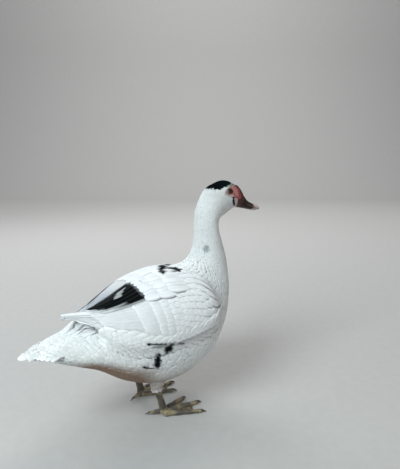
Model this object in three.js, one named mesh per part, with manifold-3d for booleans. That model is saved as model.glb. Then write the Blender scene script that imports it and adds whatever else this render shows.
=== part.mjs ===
// A muscovy hen standing with her neck raised, life size, as a still museum model.
// Millimetres, +Z up, +X the way the bird faces, +Y her left.
// The flesh is one tapering loft whose rings fan from the tail root through the
// trunk, up the neck and over the head to the root of the bill. It is parted
// into trunk, neck and head. Wings, tail, legs, webbed feet, claws, bill and
// eyes are solids of their own.
import * as THREE from "three";
import { mergeVertices } from "three/addons/utils/BufferGeometryUtils.js";
import Module from "manifold-3d";

const wasm = await Module();
wasm.setup();
const { Manifold, Mesh } = wasm;
const DEG = Math.PI / 180;

// ---- driving dimensions ------------------------------------------------
const GAP = 0.35; // clearance between neighbouring pieces
const ORIGIN = [-71.46, 0, 0]; // puts the frame's origin on the floor under the middle of the bird
const HEAD_TURN = 6 * DEG; // the head looks a little to the bird's left
const TURN_AXIS_X = 176; // upright axis that the head turns about
const EYE_R = 6.6; // eyeball
const EYE_SINK = 5.2; // depth of the eyeball's centre under the face
const EYE_ANGLE = 71 * DEG; // down from the crown
const WEB_T = 2.2; // thickness of the foot's web
const LEG_Y = 38; // half the distance between the feet
const ANKLE = { x: 42, z: 55 }; // heel joint, at the hem of the thigh feathers
const FOOT = { x: 55, z: 9 }; // where the toes meet the shank
const SHANK_R0 = 6.4, SHANK_R1 = 6.6;
const KNUCKLE_Z = 14.2; // the shank ends on the foot at this height
const TOE_OUT = 4 * DEG; // how far each foot points outwards

// Rings of the body: [name, back x, back z, belly x, belly z, half width,
// level of the widest point, roundness above it, roundness below it]
const RINGS = [
  ["coverts_end", -123, 142.5, -120, 134, 17, 0.5, 2.4, 2.2],
  ["coverts", -116, 146, -112, 129, 27, 0.5, 2.5, 2.3],
  ["tail_root", -101, 151.5, -97, 120, 35, 0.5, 2.4, 2.2],
  ["rump_end", -83, 157, -79, 110, 42, 0.48, 2.2, 2.1],
  ["rump", -56, 170, -48, 97, 61, 0.46, 2.1, 2],
  ["rear_belly", -14, 190, -4, 68.5, 82, 0.47, 2.05, 2],
  ["mid_body", 34, 210, 44, 52.5, 92, 0.49, 2.05, 2],
  ["fore_body", 78, 223.5, 90, 55.5, 93, 0.51, 2.05, 2],
  ["shoulder", 106, 230, 132, 77, 87, 0.54, 2, 2],
  ["low_breast", 123, 232.5, 162, 108, 74, 0.56, 2, 2],
  ["breast", 133.5, 237.6, 184.5, 142, 59, 0.58, 2, 2],
  ["crop", 140, 246.6, 198.6, 177, 44, 0.58, 2, 2],
  ["neck_base", 144.2, 261, 202, 208, 34, 0.56, 2, 2],
  ["neck_low", 145.2, 281, 199.8, 238, 27.5, 0.54, 2, 2],
  ["neck_mid", 145.8, 300, 191.4, 265, 24.5, 0.52, 2, 2],
  ["neck_top", 148.1, 320, 184.1, 288, 23.5, 0.5, 2, 2],
  ["nape", 155.3, 336.9, 187, 302, 23.3, 0.5, 2, 2],
  ["occiput", 165.3, 353.4, 200.6, 309.4, 23.8, 0.48, 2, 2],
  ["hindcrown", 177.8, 361, 210.4, 314.4, 24, 0.46, 2, 2],
  ["crown", 190.5, 365.6, 218.8, 318, 23.8, 0.46, 2.2, 2],
  ["brow", 206.4, 368.5, 226, 320, 22.6, 0.45, 2.3, 2],
  ["lore", 221, 362.8, 233, 320, 20.2, 0.46, 2.2, 2],
  ["face", 233.2, 356.6, 239.5, 321, 16.8, 0.48, 2.1, 2],
  ["bill_root", 240.2, 347, 244, 326, 12.5, 0.5, 2, 2],
];

// Folded wing, as rings of an elliptic sleeve round the body:
// [x, centre z, half width, half height, top edge deg, bottom edge deg, thickness]
const WING = [
  [137, 168, 80, 57, 62, 86, 3],
  [126, 164, 89.5, 67.5, 40, 92, 5.5],
  [104, 160, 98, 73.5, 20, 91, 8],
  [70, 155, 99.5, 77.5, 9, 91, 9],
  [30, 151, 98, 71.5, 5, 91, 9],
  [-10, 148, 88.5, 55, 4, 85, 8],
  [-38, 147, 74, 45, 4, 74, 7],
  [-52, 149, 61.5, 41, 4, 56, 6],
  [-70, 157, 45, 32, 5, 47, 5],
  [-85, 168, 30, 21, 7, 47, 4],
  [-98, 178, 20, 11.5, 12, 50, 2.6],
];
// How far each wing's tip stands off the middle, drops, and is drawn forwards: the right tip lies over the left
const TIPS = { right: { splay: 7, drop: -3.5, drawn: 2.5 }, left: { splay: -6, drop: 7, drawn: 6 } };

// Tail fan, laid as a low tent
const TAIL = { x: -78, z: 148, length: 71, drop: 12, half0: 20, half1: 43.5, rounding: 0.4, tent0: 6, tent1: 5.5, thick0: 7, thick1: 2 };

// Bill: [distance along it, half width, height above the mouth line, depth below it]
const BILL_ROOT = { x: 228, z: 330.5 };
const BILL_DROOP = 17 * DEG;
const UPPER_BILL = [
  [0, 14, 21],
  [12, 13, 18],
  [20, 12.2, 14.5],
  [28, 11.4, 10.8],
  [38, 11, 8.2],
  [48, 11.4, 6.9],
  [58, 11.2, 6.2],
  [66.5, 7.5, 4.4],
];
const LOWER_BILL = [
  [2, 11.5, 8.5],
  [14, 10.8, 7.4],
  [26, 10, 6],
  [40, 9.7, 4.8],
  [52, 9.8, 3.8],
  [61, 6.8, 2.4],
];

// Toes: [name, root forwards, root inwards, tip forwards, tip inwards, root radius, tip radius]
const TOES = [
  ["inner", 2, 5, 47, 24, 5, 3.2],
  ["middle", 3, 0, 61, 1, 5.4, 3.4],
  ["outer", 2, -5, 53, -25, 5, 3.2],
];
const HALLUX = { x: -19, inward: 8, z: 5.5, r0: 3.6, r1: 2.4 }; // hind toe
const CLAW_LENGTH = 10;

// ---- helpers --------------------------------------------------------------
// Smooth interpolation of a table's rows at parameter t, given each row's knot.
function row(table, knots, t) {
  const n = knots.length;
  let i = 0;
  while (i < n - 2 && t >= knots[i + 1]) i++;
  const slope = (k, c) => {
    const a = Math.max(k - 1, 0), b = Math.min(k + 1, n - 1);
    return (table[b][c] - table[a][c]) / (knots[b] - knots[a]);
  };
  const h = knots[i + 1] - knots[i], u = (t - knots[i]) / h, u2 = u * u, u3 = u2 * u;
  return table[i].map((_, c) =>
    (2 * u3 - 3 * u2 + 1) * table[i][c] + (u3 - 2 * u2 + u) * h * slope(i, c) +
    (-2 * u3 + 3 * u2) * table[i + 1][c] + (u3 - u2) * h * slope(i + 1, c));
}

const smooth = (x) => { const t = Math.min(1, Math.max(0, x)); return t * t * (3 - 2 * t); };

// three.js geometry to solid, and back
function solid(geometry) {
  const g = geometry.clone();
  g.deleteAttribute("normal");
  g.deleteAttribute("uv");
  const m = mergeVertices(g, 1e-3);
  const p = m.attributes.position.array, tri = new Uint32Array(m.index.array), kept = [];
  for (let i = 0; i < tri.length; i += 3)
    if (tri[i] !== tri[i + 1] && tri[i + 1] !== tri[i + 2] && tri[i] !== tri[i + 2]) kept.push(tri[i], tri[i + 1], tri[i + 2]);
  let volume = 0;
  const a = new THREE.Vector3(), b = new THREE.Vector3(), c = new THREE.Vector3();
  for (let i = 0; i < kept.length; i += 3) {
    a.fromArray(p, 3 * kept[i]); b.fromArray(p, 3 * kept[i + 1]); c.fromArray(p, 3 * kept[i + 2]);
    volume += a.dot(b.cross(c));
  }
  if (volume < 0) for (let i = 0; i < kept.length; i += 3) [kept[i + 1], kept[i + 2]] = [kept[i + 2], kept[i + 1]];
  return new Manifold(new Mesh({ numProp: 3, vertProperties: new Float32Array(p), triVerts: new Uint32Array(kept) }));
}
function geometryOf(manifold) {
  const m = manifold.getMesh(), v = new Float32Array(m.numVert * 3);
  for (let i = 0; i < m.numVert; i++) v.set(m.vertProperties.subarray(i * m.numProp, i * m.numProp + 3), i * 3);
  const g = new THREE.BufferGeometry().setAttribute("position", new THREE.BufferAttribute(v, 3)).setIndex(new THREE.BufferAttribute(new Uint32Array(m.triVerts), 1));
  g.computeVertexNormals();
  return g;
}
// Largest connected piece of a solid, for cuts that leave crumbs
const biggest = (m) => m.decompose().reduce((a, b) => (b.volume() > a.volume() ? b : a));

// Bends a capped cylinder: f(t, angle, r) gives the place of the point at height t (0 to 1), angle, and share r of the radius.
function bentCylinder(around, along, f) {
  const g = new THREE.CylinderGeometry(1, 1, 1, around, along), p = g.attributes.position;
  for (let i = 0; i < p.count; i++) {
    const x = p.getX(i), y = p.getY(i), z = p.getZ(i), r = Math.min(1, Math.hypot(x, z));
    p.setXYZ(i, ...f(y + 0.5, r < 1e-6 ? 0 : Math.atan2(x, z), r));
  }
  return g;
}
// Bends a box: f(u, v, w) with each from 0 to 1.
function bentBox(nu, nv, f) {
  const g = new THREE.BoxGeometry(1, 1, 1, nu, nv, 1), p = g.attributes.position;
  for (let i = 0; i < p.count; i++) p.setXYZ(i, ...f(p.getX(i) + 0.5, p.getY(i) + 0.5, p.getZ(i) + 0.5));
  return g;
}
const boxSolid = (x0, y0, z0, x1, y1, z1) => solid(new THREE.BoxGeometry(x1 - x0, y1 - y0, z1 - z0).translate((x0 + x1) / 2, (y0 + y1) / 2, (z0 + z1) / 2));

// ---- the body's loft --------------------------------------------------------
const body = RINGS.map((r) => r.slice(1));
const bodyKnots = [0];
for (let i = 1; i < body.length; i++) {
  const [a, b] = [body[i - 1], body[i]];
  bodyKnots.push(bodyKnots[i - 1] + Math.hypot((b[0] + b[2] - a[0] - a[2]) / 2, (b[1] + b[3] - a[1] - a[3]) / 2));
}
const at = (name) => bodyKnots[RINGS.findIndex((r) => r[0] === name)];
const TURN_FROM = at("neck_low"), TURN_TO = at("occiput");
function turned([x, y, z], share) {
  const a = HEAD_TURN * share, dx = x - TURN_AXIS_X;
  return [TURN_AXIS_X + dx * Math.cos(a) - y * Math.sin(a), dx * Math.sin(a) + y * Math.cos(a), z];
}
function onBody(s, angle, r = 1, out = 0) {
  const [dx, dz, vx, vz, w, m, above, below] = row(body, bodyKnots, s);
  const len = Math.hypot(vx - dx, vz - dz), ex = (vx - dx) / len, ez = (vz - dz) / len;
  const sn = Math.sin(angle), cs = Math.cos(angle), n = cs >= 0 ? above : below;
  const y = (w + out) * Math.sign(sn) * Math.abs(sn) ** (2 / n);
  const half = (cs >= 0 ? m * len : (1 - m) * len) + out;
  const a = -Math.sign(cs) * half * Math.abs(cs) ** (2 / n);
  return turned([dx + (m * len + r * a) * ex, r * y, dz + (m * len + r * a) * ez], smooth((s - TURN_FROM) / (TURN_TO - TURN_FROM)));
}
const bodyPart = (s0, s1, around, along, out = 0) =>
  solid(bentCylinder(around, along, (t, angle, r) => onBody(s0 + (s1 - s0) * t, angle, r, out)));

const NECK_FROM = at("crop") + 8, HEAD_FROM = at("nape") + 4, BODY_END = bodyKnots[body.length - 1];
const trunkWhole = bodyPart(0, NECK_FROM - 0.6, 32, 26);
const trunkSwollen = bodyPart(-0.4, NECK_FROM + 6, 32, 26, GAP + 0.15);
const neck = bodyPart(NECK_FROM, HEAD_FROM - 0.9, 24, 10);
let head = bodyPart(HEAD_FROM, BODY_END, 24, 16);

// ---- eyes ---------------------------------------------------------------------
const eyeCentre = (side) => onBody(at("crown"), side * EYE_ANGLE, 1, -EYE_SINK);
const ball = (c, r, n = 12) => solid(new THREE.SphereGeometry(r, n, Math.round(n * 0.7)).translate(...c));
const eyes = {};
for (const [name, side] of [["left", 1], ["right", -1]]) {
  eyes[name] = ball(eyeCentre(side), EYE_R);
  head = head.subtract(ball(eyeCentre(side), EYE_R + GAP));
}

// ---- bill ------------------------------------------------------------------------
const bx = Math.cos(BILL_DROOP), bz = -Math.sin(BILL_DROOP);
// along the mouth line, sideways, up from it
const billPoint = (l, y, h) => turned([BILL_ROOT.x + l * bx - h * bz, y, BILL_ROOT.z + l * bz + h * bx], 1);
function billHalf(table, sign, floor, start) {
  const knots = table.map((r) => r[0]), end = knots[knots.length - 1];
  return solid(bentCylinder(12, 11, (t, angle, r) => {
    const l = start + (end - start) * t, [, w, h] = row(table, knots, Math.max(l, knots[0]));
    const tip = Math.sqrt(Math.max(0, 1 - Math.max(0, (l - (end - 7)) / 7.6) ** 2));
    const c = Math.cos(angle), s = Math.sin(angle);
    return billPoint(l, r * w * tip * Math.sign(s) * Math.abs(s) ** 0.85, sign * (floor + r * Math.max(0, c) ** 0.9 * h * (0.45 + 0.55 * tip)));
  }));
}
const headSwollen = bodyPart(HEAD_FROM, BODY_END + GAP, 24, 16, GAP);
const upperBill = biggest(billHalf(UPPER_BILL, 1, GAP / 2, -12).subtract(headSwollen));
const lowerBill = biggest(billHalf(LOWER_BILL, -1, GAP / 2, -10).subtract(headSwollen));

// ---- wings --------------------------------------------------------------------------
const wingKnots = WING.map((_, i) => i);
// A curved sheet that follows the sleeve, thin at its edges, cut away where the trunk fills it
function wing(side, { splay, drop, drawn }) {
  const last = wingKnots.length - 1;
  return biggest(solid(bentBox(20, 6, (u, v, w) => {
    const [x, zc, a, b, top, bottom, thick] = row(WING, wingKnots, u * last);
    const angle = (top + (bottom - top) * v) * DEG, edge = 0.35 + 0.65 * Math.sin(Math.PI * v) ** 0.5;
    const inward = (1 - w) * thick * edge + (1 - edge) * 1.6;
    const aft = smooth((20 - x) / 118);
    return [x + drawn * aft * aft, side * ((a - inward) * Math.sin(angle) + splay * aft), zc - drop * aft + (b - inward) * Math.cos(angle)];
  })).subtract(trunkSwollen));
}
const wings = { right: wing(-1, TIPS.right), left: wing(1, TIPS.left) };

// ---- tail -------------------------------------------------------------------------------
const tailSheet = solid(bentBox(6, 10, (u, v, w) => {
  const across = 2 * v - 1, l = TAIL.length * (1 - TAIL.rounding * across * across) * u;
  const thick = TAIL.thick0 + (TAIL.thick1 - TAIL.thick0) * u;
  return [TAIL.x - l, across * (TAIL.half0 + (TAIL.half1 - TAIL.half0) * u ** 0.8),
    TAIL.z - TAIL.drop * (l / TAIL.length) ** 1.1 - (TAIL.tent0 + (TAIL.tent1 - TAIL.tent0) * u) * Math.abs(across) ** 1.6 + (w - 0.5) * thick];
}));
const tail = biggest(tailSheet.subtract(trunkSwollen));

// ---- legs ---------------------------------------------------------------------------------
// A round-ended rod from a to b, with radii r0 and r1, drawn in by waist at its middle
function rod(a, b, r0, r1, around = 10, along = 5, waist = 0) {
  const A = new THREE.Vector3(...a), B = new THREE.Vector3(...b), d = B.clone().sub(A), len = d.length();
  const q = new THREE.Quaternion().setFromUnitVectors(new THREE.Vector3(0, 1, 0), d.clone().normalize());
  return solid(bentCylinder(around, along, (t, angle, r) => {
    const l = -r0 + (len + r0 + r1) * t, k = Math.min(1, Math.max(0, l / len));
    let radius = r0 + (r1 - r0) * k - waist * Math.sin(Math.PI * k);
    if (l < 0) radius *= Math.sqrt(Math.max(0.06, 1 - (l / r0) ** 2));
    if (l > len) radius *= Math.sqrt(Math.max(0.06, 1 - ((l - len) / r1) ** 2));
    const p = new THREE.Vector3(r * radius * Math.sin(angle), l, r * radius * Math.cos(angle)).applyQuaternion(q).add(A);
    return [p.x, p.y, p.z];
  }));
}
const slab = (z0, z1) => boxSolid(-400, -400, z0, 400, 400, z1);

// One leg's pieces: thigh, shank, foot with its webs, and four claws
function leg(side) {
  const y0 = side * LEG_Y, ca = Math.cos(TOE_OUT), sa = Math.sin(TOE_OUT);
  // a place on the foot's plan (forwards, towards the other foot, up), turned outwards
  const plan = (x, inward, z) => [FOOT.x + x * ca + inward * sa, y0 + side * (x * sa - inward * ca), z];
  const shankRod = (extra) => rod([ANKLE.x, y0, ANKLE.z], [FOOT.x, y0, FOOT.z], SHANK_R0 + extra, SHANK_R1 + extra, 16, 5, 1.2);
  const thigh = solid(bentCylinder(14, 5, (t, angle, r) => {
    const k = 1 - t, w = 8.6 + 26 * k ** 1.25, x = ANKLE.x + 2 - 2 * k + 18 * k * k, z = ANKLE.z - 4 + 62 * k;
    return [x + r * w * 1.2 * Math.cos(angle), y0 + side * 6 * k + r * w * Math.sin(angle), z];
  }));

  let foot = rod(plan(-1, 0, 8), plan(4, 0, 5), 6.4, 5.6, 14);
  for (const [, x0, i0, x1, i1, r0, r1] of TOES) foot = foot.add(rod(plan(x0, i0, r0 - 0.5), plan(x1, i1, r1 - 0.5), r0, r1, 12));
  foot = foot.add(rod(plan(-2, 2, 7), plan(HALLUX.x, HALLUX.inward, HALLUX.z), HALLUX.r0, HALLUX.r1));
  // webs, hung between neighbouring toes, with a hollow front edge
  for (let n = 0; n < 2; n++) {
    const [, xa, ia, xb, ib] = TOES[n], [, xc, ic, xd, id] = TOES[n + 1];
    foot = foot.add(solid(bentBox(3, 5, (u, v, w) => {
      const t = u * (0.94 - 0.16 * Math.sin(Math.PI * v));
      const ax = xa + (xb - xa) * t, ai = ia + (ib - ia) * t, cx = xc + (xd - xc) * t, ci = ic + (id - ic) * t;
      return plan(ax + (cx - ax) * v, ai + (ci - ai) * v, w * (WEB_T + 1.6 * (1 - u)));
    })));
  }
  foot = foot.subtract(slab(-60, 0)).subtract(slab(KNUCKLE_Z - GAP, 60));

  // a claw grows from (x, inward, z) towards (dx, di), curving down
  const claw = (x, i, z, dx, di, r) => {
    const n = Math.hypot(dx, di), ux = dx / n, ui = di / n;
    return biggest(solid(bentCylinder(6, 4, (t, angle, rr) => {
      const l = -2.5 + (CLAW_LENGTH + 2.5) * t, w = r * Math.max(0.17, Math.sqrt(Math.max(0, 1 - 0.97 * t ** 1.6)));
      const across = rr * w * 0.8 * Math.sin(angle), bend = 3.2 * Math.max(0, l / CLAW_LENGTH) ** 2;
      return plan(x + ux * l - ui * across, i + ui * l + ux * across, Math.max(0.5, z + 0.8 - bend + rr * w * Math.cos(angle)));
    })).subtract(slab(-5, 0.4)));
  };
  const claws = { hind: claw(HALLUX.x, HALLUX.inward, HALLUX.z, HALLUX.x + 2, HALLUX.inward - 2, 1.9) };
  for (const [name, x0, i0, x1, i1, , r1] of TOES) claws[name] = claw(x1 + 0.5, i1, r1 + 0.1, x1 - x0, i1 - i0, r1 * 0.78);
  // each claw sits in a socket in its toe's end
  for (const c of Object.values(claws)) {
    const { min, max } = c.boundingBox(), mid = min.map((m, k) => (m + max[k]) / 2);
    foot = foot.subtract(c.translate(mid.map((m) => -m)).scale([1.09, 1.2, 1.2]).translate(mid));
  }
  return {
    thigh: biggest(thigh.subtract(trunkSwollen).subtract(shankRod(GAP))),
    shank: biggest(shankRod(0).subtract(slab(-1, KNUCKLE_Z)).subtract(trunkSwollen)),
    foot: biggest(foot),
    claws,
  };
}

// ---- assembly ---------------------------------------------------------------------------------
const FINISH = { // colour, roughness
  plumage: [0xe9ebe6, 0.75],
  wing: [0xe2e5e2, 0.6],
  bill: [0xcfa4a4, 0.4],
  leg: [0x77736a, 0.55],
  claw: [0x2f2a28, 0.4],
  eye: [0x7a6a3c, 0.1],
};
const pieces = [
  ["trunk", trunkWhole, "plumage"],
  ["neck", neck, "plumage"],
  ["head", head, "plumage"],
  ["bill_upper", upperBill, "bill"],
  ["bill_lower", lowerBill, "bill"],
  ["tail", tail, "plumage"],
];
for (const [name, side] of [["left", 1], ["right", -1]]) {
  const { thigh, shank, foot, claws } = leg(side);
  pieces.push(["eye_" + name, eyes[name], "eye"], ["wing_" + name, wings[name], "wing"]);
  pieces.push(["thigh_" + name, thigh, "plumage"], ["shank_" + name, shank, "leg"], ["foot_" + name, foot, "leg"]);
  for (const [toe, claw] of Object.entries(claws)) pieces.push(["claw_" + toe + "_" + name, claw, "claw"]);
}

const duck = new THREE.Group();
for (const [name, manifold, key] of pieces) {
  const [color, roughness] = FINISH[key];
  const mesh = new THREE.Mesh(geometryOf(manifold), new THREE.MeshStandardMaterial({ color, roughness, metalness: 0 }));
  mesh.name = name;
  mesh.position.set(...ORIGIN);
  duck.add(mesh);
}
export default duck;
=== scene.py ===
import math
import bpy
import numpy as np
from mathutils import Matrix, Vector


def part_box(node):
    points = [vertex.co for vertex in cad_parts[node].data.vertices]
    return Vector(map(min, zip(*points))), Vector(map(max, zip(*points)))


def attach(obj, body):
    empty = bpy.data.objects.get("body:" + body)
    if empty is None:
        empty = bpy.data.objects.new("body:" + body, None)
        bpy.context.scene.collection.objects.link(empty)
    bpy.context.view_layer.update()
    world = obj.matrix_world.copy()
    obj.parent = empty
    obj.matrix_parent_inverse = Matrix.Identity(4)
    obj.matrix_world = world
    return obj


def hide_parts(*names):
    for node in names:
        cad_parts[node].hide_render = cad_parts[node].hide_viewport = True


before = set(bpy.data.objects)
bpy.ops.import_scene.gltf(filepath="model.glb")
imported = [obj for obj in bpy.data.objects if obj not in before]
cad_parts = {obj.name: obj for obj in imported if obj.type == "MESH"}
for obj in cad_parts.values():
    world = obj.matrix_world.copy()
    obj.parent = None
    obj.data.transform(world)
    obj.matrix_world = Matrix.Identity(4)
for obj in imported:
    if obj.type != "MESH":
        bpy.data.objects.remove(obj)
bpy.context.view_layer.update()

DEG = math.pi / 180
rng = np.random.default_rng(7)
ORIGIN = np.array([-71.46, 0.0, 0.0])  # the bird's own zero in the frame, mm


# ---------------------------------------------------------------- shape of the bird, in mm
RINGS = [  # name, back x, back z, belly x, belly z, half width, widest level, roundness above, below
    ("coverts_end", -123, 142.5, -120, 134, 17, 0.5, 2.4, 2.2),
    ("coverts", -116, 146, -112, 129, 27, 0.5, 2.5, 2.3),
    ("tail_root", -101, 151.5, -97, 120, 35, 0.5, 2.4, 2.2),
    ("rump_end", -83, 157, -79, 110, 42, 0.48, 2.2, 2.1),
    ("rump", -56, 170, -48, 97, 61, 0.46, 2.1, 2),
    ("rear_belly", -14, 190, -4, 68.5, 82, 0.47, 2.05, 2),
    ("mid_body", 34, 210, 44, 52.5, 92, 0.49, 2.05, 2),
    ("fore_body", 78, 223.5, 90, 55.5, 93, 0.51, 2.05, 2),
    ("shoulder", 106, 230, 132, 77, 87, 0.54, 2, 2),
    ("low_breast", 123, 232.5, 162, 108, 74, 0.56, 2, 2),
    ("breast", 133.5, 237.6, 184.5, 142, 59, 0.58, 2, 2),
    ("crop", 140, 246.6, 198.6, 177, 44, 0.58, 2, 2),
    ("neck_base", 144.2, 261, 202, 208, 34, 0.56, 2, 2),
    ("neck_low", 145.2, 281, 199.8, 238, 27.5, 0.54, 2, 2),
    ("neck_mid", 145.8, 300, 191.4, 265, 24.5, 0.52, 2, 2),
    ("neck_top", 148.1, 320, 184.1, 288, 23.5, 0.5, 2, 2),
    ("nape", 155.3, 336.9, 187, 302, 23.3, 0.5, 2, 2),
    ("occiput", 165.3, 353.4, 200.6, 309.4, 23.8, 0.48, 2, 2),
    ("hindcrown", 177.8, 361, 210.4, 314.4, 24, 0.46, 2, 2),
    ("crown", 190.5, 365.6, 218.8, 318, 23.8, 0.46, 2.2, 2),
    ("brow", 206.4, 368.5, 226, 320, 22.6, 0.45, 2.3, 2),
    ("lore", 221, 362.8, 233, 320, 20.2, 0.46, 2.2, 2),
    ("face", 233.2, 356.6, 239.5, 321, 16.8, 0.48, 2.1, 2),
    ("bill_root", 240.2, 347, 244, 326, 12.5, 0.5, 2, 2),
]
BT = np.array([r[1:] for r in RINGS], float)
BK = [0.0]
for _a, _b in zip(BT[:-1], BT[1:]):
    BK.append(BK[-1] + math.hypot((_b[0] + _b[2] - _a[0] - _a[2]) / 2, (_b[1] + _b[3] - _a[1] - _a[3]) / 2))
BK = np.array(BK)
END = BK[-1]


def at(name):
    return BK[[r[0] for r in RINGS].index(name)]


def row(table, knots, t):
    """Smooth rows of a table at each t."""
    n = len(knots)
    i = np.clip(np.searchsorted(knots, t, "right") - 1, 0, n - 2)
    slope = np.array([(table[min(k + 1, n - 1)] - table[max(k - 1, 0)]) / (knots[min(k + 1, n - 1)] - knots[max(k - 1, 0)]) for k in range(n)])
    h = knots[i + 1] - knots[i]
    u = ((t - knots[i]) / h)[..., None]
    h = h[..., None]
    u2 = u * u
    u3 = u2 * u
    return (2 * u3 - 3 * u2 + 1) * table[i] + (u3 - 2 * u2 + u) * h * slope[i] + (-2 * u3 + 3 * u2) * table[i + 1] + (u3 - u2) * h * slope[i + 1]


def smooth(x, lo=0.0, hi=1.0):
    t = np.clip((x - lo) / (hi - lo), 0, 1)
    return t * t * (3 - 2 * t)


def turned(p, share):
    a = 6 * DEG * share
    dx, y = p[..., 0] - 176, p[..., 1]
    return np.stack([176 + dx * np.cos(a) - y * np.sin(a), dx * np.sin(a) + y * np.cos(a), p[..., 2]], -1)


def body(s, a, out=0.0):
    """A place on the body's loft: s along it from the tail, a round it from the back, out above it."""
    s, a, out = np.broadcast_arrays(np.asarray(s, float), np.asarray(a, float), np.asarray(out, float))
    kept = np.clip(s, 0, END)
    dx, dz, vx, vz, w, m, above, below = np.moveaxis(row(BT, BK, kept), -1, 0)
    ln = np.hypot(vx - dx, vz - dz)
    ex, ez = (vx - dx) / ln, (vz - dz) / ln
    sn, cs = np.sin(a), np.cos(a)
    n = np.where(cs >= 0, above, below)
    r = (np.abs(sn) ** n + np.abs(cs) ** n) ** (-1 / n)
    half = np.where(cs >= 0, m * ln, (1 - m) * ln) + out
    along = -half * r * cs
    p = np.stack([dx + (m * ln + along) * ex, (w + out) * r * sn, dz + (m * ln + along) * ez], -1)
    p = turned(p, smooth(kept, at("neck_low"), at("occiput")))
    over = (s - kept)[..., None]  # past the tail end it runs straight on, level and a little down
    return p + over * np.array([1.0, 0.0, 0.16])


WING = np.array([  # x, centre z, half width, half height, top edge deg, bottom edge deg, thickness
    [137, 168, 80, 57, 62, 86, 3], [126, 164, 89.5, 67.5, 40, 92, 5.5], [104, 160, 98, 73.5, 20, 91, 8],
    [70, 155, 99.5, 77.5, 9, 91, 9], [30, 151, 98, 71.5, 5, 91, 9], [-10, 148, 88.5, 55, 4, 85, 8],
    [-38, 147, 74, 45, 4, 74, 7], [-52, 149, 61.5, 41, 4, 56, 6], [-70, 157, 45, 32, 5, 47, 5],
    [-85, 168, 30, 21, 7, 47, 4], [-98, 178, 20, 11.5, 12, 50, 2.6]], float)
WK = np.arange(11.0)
_u = np.linspace(0, 1, 801)
_x = row(WING, WK, _u * 10)[:, 0]


def wing_u(x):
    return np.interp(-np.asarray(x, float), -_x, _u)


def wing(side, u, v, out=0.0):
    u, v, out = np.broadcast_arrays(np.asarray(u, float), np.asarray(v, float), np.asarray(out, float))
    x, zc, a, b, top, bottom, _ = np.moveaxis(row(WING, WK, np.clip(u, 0, 1) * 10), -1, 0)
    over = np.maximum(u - 1, 0) * 170
    ang = (top + (bottom - top) * v) * DEG
    edge = 0.35 + 0.65 * np.sqrt(np.clip(np.sin(np.pi * np.clip(v, 0.02, 0.98)), 0, 1))
    i = (1 - edge) * 1.6 - out
    aft = smooth(20 - x, 0, 118)
    splay, drop, drawn = (-6, 7, 6) if side > 0 else (7, -3.5, 2.5)
    return np.stack([x + drawn * aft * aft - over, side * ((a - i) * np.sin(ang) + splay * aft), zc - drop * aft + (b - i) * np.cos(ang) + over * 0.1], -1)


def tail(u, c, out=0.0):
    u, c, out = np.broadcast_arrays(np.asarray(u, float), np.asarray(c, float), np.asarray(out, float))
    length = 71 * (1 - 0.4 * np.minimum(c * c, 1)) * u
    uc = np.maximum(u, 0)
    return np.stack([-78 - length, c * (20 + 23.5 * uc ** 0.8),
                     148 - 12 * np.sign(length) * (np.abs(length) / 71) ** 1.1 - (6 - 0.5 * uc) * np.abs(c) ** 1.6 + out], -1)


# ---------------------------------------------------------------- noise, made the same each run
def hashed(i, j, k, seed=0):
    h = (i.astype(np.int64) * 73856093) ^ (j.astype(np.int64) * 19349663) ^ (k.astype(np.int64) * 83492791) ^ (seed * 2654435761)
    h = (h ^ (h >> 13)) * 1274126177 & 0x7FFFFFFF
    return ((h ^ (h >> 11)) & 0xFFFFFF) / float(0xFFFFFF)


def value_noise(p, scale, seed=0):
    q = p / scale
    f = np.floor(q)
    t = q - f
    t = t * t * (3 - 2 * t)
    f = f.astype(np.int64)
    out = 0
    for dx in (0, 1):
        for dy in (0, 1):
            for dz in (0, 1):
                w = (t[..., 0] if dx else 1 - t[..., 0]) * (t[..., 1] if dy else 1 - t[..., 1]) * (t[..., 2] if dz else 1 - t[..., 2])
                out = out + w * hashed(f[..., 0] + dx, f[..., 1] + dy, f[..., 2] + dz, seed)
    return out


def cells(p, scale, seed=0):
    """(distance to the nearest cell centre, to the second, that cell's number 0 to 1), in cells."""
    q = p / scale
    f = np.floor(q).astype(np.int64)
    best = np.full(q.shape[:-1], 9.0)
    second = best.copy()
    who = np.zeros(q.shape[:-1])
    for dx in (-1, 0, 1):
        for dy in (-1, 0, 1):
            for dz in (-1, 0, 1):
                c = f + np.array([dx, dy, dz])
                o = np.stack([hashed(c[..., 0], c[..., 1], c[..., 2], seed + k) for k in (1, 2, 3)], -1)
                d = np.linalg.norm(c + 0.5 + (o - 0.5) * 0.8 - q, axis=-1)
                closer = d < best
                second = np.where(closer, best, np.minimum(second, d))
                who = np.where(closer, hashed(c[..., 0], c[..., 1], c[..., 2], seed + 9), who)
                best = np.minimum(best, d)
    return best, second, who


# ---------------------------------------------------------------- markings and painted shade, shared by skin and coat
WHITE = np.array([0.86, 0.885, 0.89])
CREAM = np.array([0.83, 0.82, 0.775])
BLACK = np.array([0.0040, 0.0058, 0.0062])
# brown of mud stains, made darker as painted shade of the underside
MUD_AND_SHADE = np.array([0.25, 0.155, 0.105])
CAP = np.array([[453.5, 0], [455.5, 9], [457.5, 20], [459, 36], [460.4, 44], [463, 47], [470, 48], [477, 48], [482.5, 45], [487, 36], [490.5, 23], [493, 10], [494.5, 0]], float)
MASK = np.array([[0, 504], [15, 502], [28, 498], [40, 493.5], [48, 488], [54, 481.5], [58, 475], [62, 470], [68, 467.3], [76, 467], [83, 468.5], [90, 471.5], [97, 475],
                 [104, 478.5], [112, 482], [124, 483], [136, 484], [146, 486.5], [156, 493], [166, 501], [180, 507]], float)


def cap_share(s, a, p):
    lim = np.interp(s, CAP[:, 0], CAP[:, 1], left=-9, right=-9)
    wob = (value_noise(p, 3.2, 5) - 0.5) * 9
    return smooth(lim - np.abs(a) / DEG + wob, -3.0, 3.0) * (s > 448) * (s < 497)


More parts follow.
